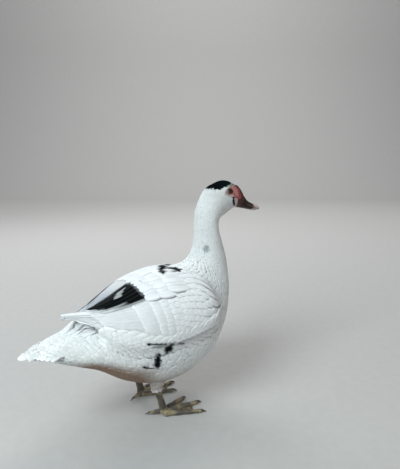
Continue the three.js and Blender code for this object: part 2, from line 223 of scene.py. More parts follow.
def mask_share(s, a):
    """How far a place is inside the bare face."""
    edge = np.interp(np.abs(a) / DEG, MASK[:, 0], MASK[:, 1])
    return smooth(s - edge, -0.9, 0.9)


def blot(p, c, r, wob, soft=0.35):
    """A ragged spot: 1 inside, 0 outside."""
    d = np.sqrt((((p - np.array(c, float)) / np.array(r, float)) ** 2).sum(-1))
    return smooth(1 + soft / 2 + wob - d, 0, soft)


def streak(p, a, b, r, wob):
    """A tapering line; the way in and out of the body counts little."""
    a, b = np.array(a, float), np.array(b, float)
    w = np.array([1, 0.25, 1])
    d, e = (p - a) * w, (b - a) * w
    t = np.clip((d @ e) / (e @ e), 0, 1)
    d = np.linalg.norm(d - t[..., None] * e, axis=-1)
    return smooth(1.2 + wob - d / (r * (0.45 + 0.55 * np.sin(np.pi * (0.2 + 0.7 * t)))), 0, 0.4)


# outlines in plan: x forwards, y to the bird's left
PATCH = [(-56, -17), (-43, -24.7), (-29, -33.3), (-15.5, -41.5), (-1.4, -50), (13.8, -58.5), (16.5, -53), (20, -45), (15.8, -36), (19.5, -26), (22.5, -12),
         (27, 4), (20, 6), (1, 5), (-11, 4), (-20, 3.5), (-30, 2.5), (-38.5, 0), (-50, -8), (-56, -13)]
PATCH_LEFT = [(14, 50), (15, 62), (-4, 62), (-26, 51), (-48, 37), (-50, 30), (-24, 38), (-4, 45)]
MARKS = ([(83, 20), (90, 14), (87, 2), (77, -10), (73, -25), (66, -25), (64, -15), (70, 2)],
         [(98, 13), (102, 1), (106, -14), (94, -30), (84, -28), (88, -14), (92, -4), (94, 6)],
         [(83, 19), (98, 11), (98, 8), (84, 15)])


def in_plan(p, outline_, wob=0.0, soft=1.4):
    """1 inside an outline drawn in plan, 0 outside it."""
    o = np.array(outline_, float)
    x, y = p[..., 0], p[..., 1]
    inside = np.zeros(x.shape, bool)
    far = np.full(x.shape, 1e9)
    for (x0, y0), (x1, y1) in zip(o, np.roll(o, -1, 0)):
        dx, dy = x1 - x0, y1 - y0
        t = np.clip(((x - x0) * dx + (y - y0) * dy) / (dx * dx + dy * dy), 0, 1)
        far = np.minimum(far, np.hypot(x - x0 - t * dx, y - y0 - t * dy))
        if dy:
            inside ^= ((y0 > y) != (y1 > y)) & (x < x0 + (y - y0) * dx / dy)
    return smooth(np.where(inside, far, -far) + wob, -soft / 2, soft / 2)


def mantle_black(p):
    wob = (value_noise(p, 5, 12) - 0.5) * 4
    k = np.maximum(in_plan(p, MARKS[0], wob), in_plan(p, MARKS[1], wob))
    return np.maximum(k, in_plan(p, MARKS[2], wob * 0.5)) * smooth(p[..., 2], 205, 210)


def place_black(p):
    """Black of back, wings and flanks at a place, whatever feather lies there."""
    wob = value_noise(p, 5, 11) - 0.5
    high = smooth(p[..., 2], 168, 172)
    k = np.maximum(in_plan(p, PATCH, wob * 3), in_plan(p, PATCH_LEFT, wob * 3)) * high
    k = np.maximum(k, mantle_black(p))
    wob = wob * 0.7
    # right flank
    k = np.maximum(k, streak(p, (0, -91, 152), (58, -92.5, 141.5), 2.1, wob * 0.6))
    k = np.maximum(k, blot(p, (32.5, -91, 138.5), (7.8, 12, 8.8), wob))
    k = np.maximum(k, blot(p, (18, -88, 119), (5.2, 13, 13.5), wob))
    k = np.maximum(k, streak(p, (-2, -80, 113.5), (14, -83, 108), 2.0, wob))
    # left flank
    k = np.maximum(k, blot(p, (22, 88, 128), (7, 12, 9), wob))
    return np.maximum(k, streak(p, (40, 90, 140), (58, 92, 146), 2.2, wob))


def black_share(s, a, p):
    """How black the coat is at a place on the body."""
    # slash behind the corner of the mouth, both sides
    side = np.abs(a) / DEG
    mid = np.interp(side, [94, 101, 106, 115, 137], [476.0, 474.8, 472.6, 471.9, 474.6])
    k = smooth(1 - np.abs(s - mid) / 3.8, 0, 0.4) * smooth(1 - np.abs(side - 116) / 23, 0, 0.15)
    return np.maximum(np.maximum(cap_share(s, a, p), k), place_black(p))


def coat_colour(s, a, p):
    """Colour of coat or skin at a place on the body."""
    # cream at random over the body, and creamier and darker towards the bottom: painted shade of the underside
    base = WHITE + (CREAM - WHITE) * (0.25 * value_noise(p, 26, 3) + 0.55 * smooth(-p[..., 2], -105, -62) * (s < 290))[..., None]
    # underside and lower rear flank turned brown: mud stain and painted shade under the body
    low = smooth(-np.cos(a), 0.42, 0.95) * smooth(s, 20, 60) * (1 - smooth(s, 170, 250))
    low = low * (0.6 + 0.4 * value_noise(p, 17, 8))
    rear = smooth(-np.cos(a), 0.16, 0.5) * smooth(s, 26, 60) * (1 - smooth(s, 110, 158)) * 0.82
    base = base + (MUD_AND_SHADE - base) * (np.clip(0.9 * low + rear, 0, 0.95))[..., None]
    # painted shade of the head: a darker greyish band round the bare face and a dark brown band over the brow
    edge = np.interp(np.abs(a) / DEG, MASK[:, 0], MASK[:, 1])
    near = smooth(s - edge, -9, 0) * smooth(np.abs(a) / DEG, 36, 50)
    base = base + (np.array([0.46, 0.40, 0.36]) - base) * (0.7 * near)[..., None]
    brow = smooth(s - edge, -15, -3) * (1 - smooth(np.abs(a) / DEG, 48, 58)) * (s > 470)
    base = base + (np.array([0.21, 0.18, 0.145]) - base) * (0.9 * brow)[..., None]
    # grey flecks
    fleck = 0.75 * blot(p, (151.5, -20.5, 258), (5.5, 6, 6.5), 0, 0.9)
    fleck = np.maximum(fleck, 0.4 * blot(p, (-68, -19.5, 162), (3.2, 3, 4), 0, 0.8))
    fleck = np.maximum(fleck, 0.4 * blot(p, (171, 0, 357), (4, 12, 5), 0, 0.9))
    base = base + (np.array([0.25, 0.29, 0.30]) - base) * fleck[..., None]
    k = black_share(s, a, p)
    return base + (BLACK - base) * k[..., None], k


def face_colour(s, a, p):
    """Colour of the bare face."""
    deg = np.abs(a) / DEG
    n = value_noise(p, 2.4, 21)
    d1, d2, who = cells(p, 2.3, 31)
    deep, light = np.array([0.30, 0.035, 0.04]), np.array([0.46, 0.13, 0.13])
    red = deep + (light - deep) * (0.65 * n + 0.35 * who)[..., None]
    # brightest before and below the eye
    k = smooth(1 - np.hypot((s - 484.5) / 8.0, (deg - 82) / 30), 0, 0.7)
    red = red + (np.array([0.56, 0.25, 0.23]) - red) * (0.8 * k)[..., None]
    # pale thin skin between the feathers, the eye and the red
    line = np.interp(deg, [45, 55, 61, 72, 86, 98, 104, 112, 124, 145], [494, 489, 484.5, 479.5, 478, 478, 480, 486, 486, 487])
    pale = (1 - smooth(s - line + (n - 0.5) * 2.5, -3.0, 1.5))
    tone = np.array([0.29, 0.23, 0.195]) + (np.array([0.64, 0.45, 0.41]) - np.array([0.29, 0.23, 0.195])) * smooth(deg, 76, 86)[..., None]
    red = red + (tone - red) * (0.92 * pale)[..., None]
    # painted shadow round the root of the bill, over the brow and behind the mouth; the spot behind the mouth's corner
    # is the real black slash
    start = np.interp(deg, [0, 40, 50, 60, 75, 98, 108], [488, 488, 491, 495, 497, 497, 492])
    dark = smooth(s - start + (n - 0.5) * 4, -1.5, 4.5) * 0.93
    dark = np.maximum(dark, smooth(deg, 104, 118) * smooth(s, 484, 487) * 0.93)
    dark = np.maximum(dark, smooth(1 - np.hypot((s - 475.5) / 4.0, (deg - 101) / 6.0), 0, 0.5) * 0.9)
    red = red + (np.array([0.042, 0.016, 0.010]) - red) * dark[..., None]
    # painted shade in the creases between the knobs
    crease = smooth(d2 - d1, 0.0, 0.22)
    return red * (0.6 + 0.4 * np.maximum(crease, 0.8 * pale))[..., None]


# ---------------------------------------------------------------- mesh making
def mesh_object(name, verts, loops, starts, colour=None, uvs=None, flat=None, mats=(), mat_index=None, extra=None):
    """A mesh from flat arrays; verts in mm of the bird's own frame."""
    me = bpy.data.meshes.new(name)
    v = ((verts + ORIGIN) * 0.001).astype(np.float32)
    me.vertices.add(len(v))
    me.vertices.foreach_set("co", v.ravel())
    me.loops.add(len(loops))
    me.loops.foreach_set("vertex_index", loops.astype(np.int32))
    me.polygons.add(len(starts))
    me.polygons.foreach_set("loop_start", starts.astype(np.int32))
    if mat_index is not None:
        me.polygons.foreach_set("material_index", mat_index.astype(np.int32))
    me.update(calc_edges=True)
    sm = np.ones(len(starts), bool) if flat is None else ~flat
    me.polygons.foreach_set("use_smooth", sm)
    if colour is not None:
        at_ = me.color_attributes.new("Tint", "FLOAT_COLOR", "POINT")
        c4 = np.ones((len(v), 4), np.float32)
        c4[:, :3] = np.clip(colour, 0, 1)
        at_.data.foreach_set("color", c4.ravel())
    for key, uv in (uvs or {}).items():
        layer = me.uv_layers.new(name=key, do_init=False)
        layer.data.foreach_set("uv", uv[loops].astype(np.float32).ravel())
    for key, val in (extra or {}).items():
        layer = me.attributes.new(key, "FLOAT", "POINT")
        layer.data.foreach_set("value", val.astype(np.float32))
    me.validate()
    ob = bpy.data.objects.new(name, me)
    bpy.context.scene.collection.objects.link(ob)
    for m in mats:
        me.materials.append(m)
    return ob


def grid_loops(nu, nv, closed):
    """Quads of a grid of nu rows of nv, closed round or not; rows are outer."""
    i, j = np.meshgrid(np.arange(nu - 1), np.arange(nv if closed else nv - 1), indexing="ij")
    k = (j + 1) % nv
    q = np.stack([i * nv + j, i * nv + k, (i + 1) * nv + k, (i + 1) * nv + j], -1).reshape(-1, 4)
    return q


def build_vanes(P, tip, tint, vane, bake, stations, name, mats, mat_of):
    """Closed vanes. P (N, nt, 6, 3) rings, tip (N, 3), tint (N, nt, 6, 3) and tip tint is the last ring's."""
    N, nt = P.shape[:2]
    per = nt * 6 + 1
    verts = np.concatenate([P.reshape(N, nt * 6, 3), tip[:, None]], 1).reshape(-1, 3)
    col = np.concatenate([tint.reshape(N, nt * 6, 3), tint[:, -1, 2][:, None]], 1).reshape(-1, 3)
    uv1 = np.concatenate([vane.reshape(nt * 6, 2), [[1.0, 0.5]]], 0)
    uvv = np.broadcast_to(uv1, (N, per, 2)).reshape(-1, 2)
    uvb = (bake[:, None, :] + (np.broadcast_to(uv1, (N, per, 2)) - 0.5) * 0.003).reshape(-1, 2)
    quads = grid_loops(nt, 6, True)
    last = (nt - 1) * 6
    j = np.arange(6)
    tris = np.stack([last + j, last + (j + 1) % 6, np.full(6, per - 1)], -1)
    root = np.array([5, 4, 3, 2, 1, 0])
    one = np.concatenate([quads.ravel(), tris.ravel(), root])
    sizes = np.concatenate([np.full(len(quads), 4), np.full(6, 3), [6]])
    qflat = (quads[:, 0] % 6) >= 4
    flat1 = np.concatenate([qflat, j >= 4, [True]])
    loops = (one[None, :] + (np.arange(N) * per)[:, None]).ravel()
    sz = np.tile(sizes, N)
    starts = np.concatenate([[0], np.cumsum(sz)[:-1]])
    mi = np.repeat(mat_of, len(sizes))
    return mesh_object(name, verts, loops, starts, col, {"OFBake": uvb, "Vane": uvv}, np.tile(flat1, N), mats, mi)


Q6 = np.array([-1.0, -0.5, 0.0, 0.5, 1.0, 0.0])  # five across the top, one under the shaft
UNDER = np.array([0, 0, 0, 0, 0, 1.0])
T_LONG = np.array([0.0, 0.2, 0.4, 0.58, 0.72, 0.83, 0.91, 0.97])
T_MID = np.array([0.0, 0.25, 0.5, 0.7, 0.84, 0.94])
T_SMALL = np.array([0.0, 0.35, 0.65, 0.88])


def outline(t, round_from=0.6, root=0.35, power=2.2):
    f = root + (1 - root) * np.clip(t / 0.5, 0, 1) ** 0.8
    f = np.where(t > 0.5, 1.0, f)
    return f * np.sqrt(np.clip(1 - np.clip((t - round_from) / (1 - round_from), 0, 1) ** power, 0, 1))


def unwrap_body(s, a):
    """Place of a point of the body on its unwrap, 0 to 1."""
    return np.stack([0.03 + 0.94 * np.clip(s, -20, END) / (END + 20) + 0.02, 0.5 + 0.46 * a / np.pi], -1)


def body_vanes(name, s0, a0, L, W, h0, h1, thick, stations, mats, yaw=None, camber=0.08, fray=0.07, tintf=None, round_from=0.6, curl=None):
    """Vanes on the body's loft, running back from their roots."""
    N = len(s0)
    yaw = np.zeros(N) if yaw is None else yaw
    e = 0.5
    ms = np.linalg.norm(body(s0 + e, a0) - body(s0 - e, a0), axis=-1) / (2 * e)
    t = stations[None, :, None]
    s = s0[:, None, None] - t * (L * np.cos(yaw) / ms)[:, None, None]
    ae = 0.01
    ma = np.linalg.norm(body(s[:, :, 0], a0[:, None] + ae) - body(s[:, :, 0], a0[:, None] - ae), axis=-1) / (2 * ae)
    ma = np.maximum(ma, 3.0)[:, :, None]
    f = outline(t, round_from)
    jag = 1 + fray * (rng.random((N, len(stations), 6)) * 2 - 1) * (np.abs(Q6) == 1)
    hw = W[:, None, None] / 2 * f
    a = a0[:, None, None] + (Q6 * hw * jag + t * (L * np.sin(yaw))[:, None, None]) / ma
    lift = 0 if curl is None else curl[:, None, None] * t ** 3
    out = h0[:, None, None] + (h1 - h0)[:, None, None] * (1 - (1 - t) ** 2.4) - camber * W[:, None, None] * (Q6 ** 2) * (0.4 + 0.6 * f) - UNDER * thick * (0.4 + 0.6 * f) + lift
    s_full = np.broadcast_to(s, a.shape)
    P = body(s_full, a, out)
    ttip = 1.0
    stip = s0 - ttip * L * np.cos(yaw) / ms
    tip = body(stip, a0 + L * np.sin(yaw) / ma[:, -1, 0], h1 + (0 if curl is None else curl) - thick[:, 0, 0] * 0.4)
    look = (tintf or coat_colour)
    own = (rng.random((N, 1, 1, 3)) - 0.5) * 0.22 * np.minimum(W, 9)[:, None, None, None]
    col, k = look(np.clip(s_full, 0, END), a, P + own)
    black = k[:, 1:, :5].min((1, 2)) > 0.5
    tint = col * (1 + 0.05 * (rng.random((N, 1, 1, 1)) - 0.5))
    # painted shade: each feather darker towards its covered root
    tint = tint * (0.88 + 0.12 * smooth(stations, 0.35, 0.9))[None, :, None, None]
    vane = np.stack(np.broadcast_arrays(stations[:, None], (Q6 + 1)[None, :] / 2), -1)
    return build_vanes(P, tip, tint, vane, unwrap_body(s0, a0), stations, name, mats, black.astype(int))


def rows_on_body(s_lo, s_hi, e_of, c_of, keep, seed, jit=0.12):
    """Roots in rows from the head backwards: e_of and c_of give the step along and across, in mm."""
    r = np.random.default_rng(seed)
    S = np.linspace(s_hi, s_lo, 900)
    A = np.linspace(-np.pi, np.pi, 361)
    sg, ag = np.meshgrid(S, A, indexing="ij")
    P = body(sg, ag)
    step = np.linalg.norm(np.diff(P, axis=0), axis=-1)
    e = e_of(sg, ag, P)
    T = np.concatenate([np.zeros((1, len(A))), np.cumsum(step / e[:-1], 0)], 0)
    out_s, out_a = [], []
    for k in range(int(T.max()) + 1):
        sk = np.full(len(A), np.nan)
        for j in range(len(A)):
            if T[-1, j] >= k:
                sk[j] = np.interp(k, T[:, j], S)
        ok = ~np.isnan(sk)
        if ok.sum() < 3:
            continue
        skf = np.where(ok, sk, s_lo - 5)
        line = body(np.clip(skf, 0, END), A)
        seg = np.linalg.norm(np.diff(line, axis=0), axis=-1)
        c = c_of(skf, A, line)
        U = np.concatenate([[0], np.cumsum(seg / ((c[1:] + c[:-1]) / 2))])
        n = max(6, int(round(U[-1])))
        U *= n / U[-1]
        pos = (np.arange(n) + 0.5 * (k % 2) + 0.25 + jit * (r.random(n) - 0.5) * 2) % n
        a = np.interp(pos, U, A)
        s = np.interp(a, A, skf)
        good = s > s_lo
        out_s.append(s[good])
        out_a.append(a[good])
    s, a = np.concatenate(out_s), np.concatenate(out_a)
    p = body(s, a)
    s = s + (r.random(len(s)) - 0.5) * 2 * jit * e_of(s, a, p)
    k = keep(s, a, p)
    return s[k], a[k]


# ---------------------------------------------------------------- materials
def nodes_of(name):
    m = bpy.data.materials.new(name)
    m.use_nodes = True
    nt = m.node_tree
    bsdf = nt.nodes["Principled BSDF"]
    return m, nt, bsdf


def node(nt, kind, **values):
    n = nt.nodes.new(kind)
    for k, v in values.items():
        if hasattr(n, k):
            setattr(n, k, v)
    return n


def maths(nt, op, a, b=None, clamp=False):
    n = nt.nodes.new("ShaderNodeMath")
    n.operation = op
    n.use_clamp = clamp
    for i, x in enumerate((a, b)):
        if x is None:
            continue
        if isinstance(x, (int, float)):
            n.inputs[i].default_value = x
        else:
            nt.links.new(x, n.inputs[i])
    return n.outputs[0]


def mix(nt, kind, factor, a, b):
    n = nt.nodes.new("ShaderNodeMix")
    n.data_type = "RGBA"
    n.blend_type = kind
    for sock, x in ((n.inputs[0], factor), (n.inputs[6], a), (n.inputs[7], b)):
        if isinstance(x, (int, float)):
            sock.default_value = x
        elif isinstance(x, tuple):
            sock.default_value = (*x, 1)
        else:
            nt.links.new(x, sock)
    return n.outputs[2]


def noise(nt, scale, detail=3.0, rough=0.55, vector=None):
    n = nt.nodes.new("ShaderNodeTexNoise")
    n.inputs["Scale"].default_value = scale
    n.inputs["Detail"].default_value = detail
    n.inputs["Roughness"].default_value = rough
    nt.links.new(vector or place(nt), n.inputs["Vector"])
    return n.outputs["Fac"]


def place(nt):
    n = nt.nodes.get("Place")
    if n is None:
        n = nt.nodes.new("ShaderNodeTexCoord")
        n.name = "Place"
    return n.outputs["Object"]


def tint(nt):
    n = nt.nodes.new("ShaderNodeVertexColor")
    n.layer_name = "Tint"
    return n.outputs["Color"]


def ramp(nt, factor, stops):
    n = nt.nodes.new("ShaderNodeValToRGB")
    el = n.color_ramp.elements
    while len(el) < len(stops):
        el.new(0.5)
    for e, (pos, col) in zip(el, stops):
        e.position = pos
        e.color = (*col, 1) if len(col) == 3 else col
    nt.links.new(factor, n.inputs[0])
    return n.outputs[0]


def bump(nt, bsdf, height, strength, distance, normal=None):
    n = nt.nodes.new("ShaderNodeBump")
    n.inputs["Strength"].default_value = strength
    n.inputs["Distance"].default_value = distance
    nt.links.new(height, n.inputs["Height"])
    if normal is not None:
        nt.links.new(normal, n.inputs["Normal"])
    nt.links.new(n.outputs[0], bsdf.inputs["Normal"])
    return n.outputs[0]


def feather_material(name, dark, barbs=30.0, strength=0.5, rough=0.62, shaft_dark=0.1):
    m, nt, b = nodes_of(name)
    uv = nt.nodes.new("ShaderNodeUVMap")
    uv.uv_map = "Vane"
    sep = nt.nodes.new("ShaderNodeSeparateXYZ")
    nt.links.new(uv.outputs[0], sep.inputs[0])
    t, q = sep.outputs[0], sep.outputs[1]
    across = maths(nt, "ABSOLUTE", maths(nt, "SUBTRACT", q, 0.5))
    wob = maths(nt, "MULTIPLY", noise(nt, 420, 2), 1.6)
    phase = maths(nt, "ADD", maths(nt, "SUBTRACT", maths(nt, "MULTIPLY", t, barbs), maths(nt, "MULTIPLY", across, barbs * 0.75)), wob)
    barb = maths(nt, "ABSOLUTE", maths(nt, "SINE", maths(nt, "MULTIPLY", phase, math.pi)))
    shaft = maths(nt, "SUBTRACT", 1.0, maths(nt, "MULTIPLY", across, 16.0), True)
    fine = noise(nt, 260, 4)
    height = maths(nt, "ADD", maths(nt, "MULTIPLY", barb, 0.22), maths(nt, "ADD", maths(nt, "MULTIPLY", shaft, 0.10), maths(nt, "MULTIPLY", fine, 0.5)))
    base = tint(nt)
    if dark:
        # green, blue and violet tints and lighter barbs on the black feathers: painted iridescent sheen
        sheen_tint = ramp(nt, noise(nt, 38, 2), [(0.35, (0.55, 1.0, 0.82)), (0.52, (0.75, 0.9, 1.15)), (0.68, (1.0, 0.72, 1.0))])
        base = mix(nt, "MULTIPLY", 1.0, base, sheen_tint)
        base = mix(nt, "ADD", maths(nt, "MULTIPLY", barb, 0.25), base, (0.002, 0.005, 0.005))
    else:
        lo = ramp(nt, noise(nt, 90, 4), [(0.3, (0.93, 0.935, 0.94)), (0.65, (1.0, 1.0, 1.0))])
        base = mix(nt, "MULTIPLY", 1.0, base, lo)
        base = mix(nt, "MULTIPLY", maths(nt, "MULTIPLY", barb, 0.10), base, (0.72, 0.74, 0.77))
        base = mix(nt, "MULTIPLY", maths(nt, "MULTIPLY", shaft, shaft_dark), base, (0.62, 0.60, 0.56))
    nt.links.new(base, b.inputs["Base Color"])
    r = maths(nt, "ADD", maths(nt, "MULTIPLY", fine, 0.22), rough - 0.11)
    nt.links.new(r, b.inputs["Roughness"])
    if dark:
        b.inputs["Specular IOR Level"].default_value = 0.0
        b.inputs["Specular Tint"].default_value = (0.62, 0.95, 0.9, 1)
    else:
        b.inputs["Subsurface Weight"].default_value = 0.35
        b.inputs["Subsurface Radius"].default_value = (1.0, 1.0, 1.0)
        b.inputs["Subsurface Scale"].default_value = 0.003
        b.inputs["Specular IOR Level"].default_value = 0.02
    bump(nt, b, height, strength, 0.0005)
    return m


def skin_material():
    """Downy skin under the coat."""
    m, nt, b = nodes_of("down_skin")
    base = mix(nt, "MULTIPLY", 1.0, tint(nt), ramp(nt, noise(nt, 120, 5), [(0.3, (0.86, 0.86, 0.87)), (0.7, (1, 1, 1))]))
    nt.links.new(base, b.inputs["Base Color"])
    h = noise(nt, 700, 4)
    nt.links.new(maths(nt, "ADD", maths(nt, "MULTIPLY", h, 0.2), 0.7), b.inputs["Roughness"])
    b.inputs["Specular IOR Level"].default_value = 0.1
    bump(nt, b, h, 0.5, 0.0006)
    return m


def face_material():
    """Bare, knobbly red skin of the face."""
    m, nt, b = nodes_of("bare_face")
    n = noise(nt, 900, 5)
    base = mix(nt, "MULTIPLY", 1.0, tint(nt), ramp(nt, n, [(0.3, (0.72, 0.66, 0.66)), (0.68, (1.15, 1.1, 1.1))]))
    nt.links.new(base, b.inputs["Base Color"])
    nt.links.new(maths(nt, "ADD", maths(nt, "MULTIPLY", n, 0.3), 0.34), b.inputs["Roughness"])
    b.inputs["Specular IOR Level"].default_value = 0.25
    b.inputs["Subsurface Weight"].default_value = 0.18
    b.inputs["Subsurface Radius"].default_value = (1.0, 0.25, 0.2)
    b.inputs["Subsurface Scale"].default_value = 0.002
    bump(nt, b, n, 0.6, 0.0006)
    return m


def horn_material(name, rough=0.36, scale=260, streaks=True, spec=0.5):
    m, nt, b = nodes_of(name)
    v = place(nt)
    if streaks:
        mp = nt.nodes.new("ShaderNodeMapping")
        mp.inputs["Scale"].default_value = (0.25, 1.0, 1.0)
        nt.links.new(v, mp.inputs[0])
        v = mp.outputs[0]
    n = noise(nt, scale, 5, 0.6, v)
    base = mix(nt, "MULTIPLY", 1.0, tint(nt), ramp(nt, n, [(0.3, (0.70, 0.68, 0.66)), (0.55, (0.97, 0.96, 0.96)), (0.75, (1.12, 1.12, 1.12))]))
    nt.links.new(base, b.inputs["Base Color"])
    nt.links.new(maths(nt, "ADD", maths(nt, "MULTIPLY", n, 0.28), rough - 0.12), b.inputs["Roughness"])
    b.inputs["Specular IOR Level"].default_value = spec
    bump(nt, b, n, 0.35, 0.0004)
    return m


def scale_material():
    """Small netted scales of shanks, toes and webs."""
    m, nt, b = nodes_of("leg_scales")
    vo = nt.nodes.new("ShaderNodeTexVoronoi")
    vo.feature = "DISTANCE_TO_EDGE"
    vo.inputs["Scale"].default_value = 520
    nt.links.new(place(nt), vo.inputs["Vector"])
    edge = ramp(nt, vo.outputs["Distance"], [(0.0, (0, 0, 0)), (0.12, (1, 1, 1))])
    n = noise(nt, 150, 4)
    base = mix(nt, "MULTIPLY", 1.0, tint(nt), ramp(nt, n, [(0.3, (0.66, 0.64, 0.6)), (0.7, (1.15, 1.12, 1.1))]))
    # scale edges darkened: painted shade in the grooves
    base = mix(nt, "MULTIPLY", 0.45, base, edge)
    nt.links.new(base, b.inputs["Base Color"])
    nt.links.new(maths(nt, "ADD", maths(nt, "MULTIPLY", n, 0.3), 0.33), b.inputs["Roughness"])
    b.inputs["Specular IOR Level"].default_value = 0.4
    bump(nt, b, edge, 0.5, 0.0005)
    return m


def eye_material():
    """Brown iris round a black pupil, by how far a place is from the way the eye looks."""
    m, nt, b = nodes_of("eye_ball")
    at_ = nt.nodes.new("ShaderNodeAttribute")
    at_.attribute_name = "gaze"
    g = maths(nt, "ADD", at_.outputs["Fac"], maths(nt, "MULTIPLY", maths(nt, "SUBTRACT", noise(nt, 2200, 2), 0.5), 0.02))
    iris = ramp(nt, g, [(0.0, (0.003, 0.003, 0.003)), (0.31, (0.003, 0.003, 0.003)), (0.33, (0.030, 0.013, 0.007)), (0.44, (0.060, 0.026, 0.012)),
                        (0.52, (0.05, 0.03, 0.016)), (0.56, (0.012, 0.009, 0.008)), (0.64, (0.03, 0.018, 0.015)), (1.0, (0.04, 0.02, 0.018))])
    spokes = ramp(nt, noise(nt, 1600, 4), [(0.35, (0.6, 0.6, 0.6)), (0.65, (1.3, 1.3, 1.2))])
    nt.links.new(mix(nt, "MULTIPLY", 0.8, iris, spokes), b.inputs["Base Color"])
    b.inputs["Roughness"].default_value = 0.08
    b.inputs["Specular IOR Level"].default_value = 0.25
    b.inputs["Coat Weight"].default_value = 0.15
    b.inputs["Coat Roughness"].default_value = 0.02
    return m


M_WHITE = feather_material("feathers_white", False, strength=0.35)
M_DARK = feather_material("feathers_black", True, rough=0.50)
M_LONG = feather_material("quills_white", False, barbs=90.0, strength=0.3, rough=0.55, shaft_dark=0.12)
M_LONG_DARK = feather_material("quills_black", True, barbs=90.0, strength=0.35, rough=0.5)
M_SKIN = skin_material()
M_FACE = face_material()
M_BILL = horn_material("bill_horn", 0.42, spec=0.22)
M_CLAW = horn_material("claw_horn", 0.34, 500)
M_SCALE = scale_material()
M_EYE = eye_material()
COAT = (M_WHITE, M_DARK)
LONG = (M_LONG, M_LONG_DARK)


# ---------------------------------------------------------------- the eyes' places
EYE_R = 6.6
EYES = {}
for label, side in (("left", 1), ("right", -1)):
    lo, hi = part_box(f"eye_{label}")
    c = (np.array(lo) + np.array(hi)) * 500 - ORIGIN
    s_e, a_e = at("crown"), side * 68.7 * DEG
    da = body(s_e, a_e + 0.02) - body(s_e, a_e - 0.02)
    ds = body(s_e + 0.5, a_e) - body(s_e - 0.5, a_e)
    nrm = np.cross(da, ds)
    nrm /= np.linalg.norm(nrm)
    if nrm[1] * side < 0:
        nrm = -nrm
    fwd = turned(np.array([177.0, 0, 0]), 1.0) - turned(np.array([176.0, 0, 0]), 1.0)
    fwd = fwd - (fwd @ nrm) * nrm
    fwd /= np.linalg.norm(fwd)
    up = np.cross(nrm, fwd)
    if up[2] < 0:
        up = -up
    EYES[label] = (side, c, nrm, fwd, up)


def lid_gap(phi):
    """Half opening between the lids, mm, in the direction phi from the front corner."""
    return 3.95 * np.abs(np.cos(phi)) ** 1.2 + 0.0 + 3.35 * np.abs(np.sin(phi)) ** 1.4


# ---------------------------------------------------------------- skin
DEPTH_KNOTS = np.array([[0, 1.5], [160, 1.8], [290, 1.5], [345, 1.2], [400, 1.0], [440, 0.9], [470, 0.8], [END, 0.6]], float)


def coat_depth(s):
    return np.interp(s, DEPTH_KNOTS[:, 0], DEPTH_KNOTS[:, 1])


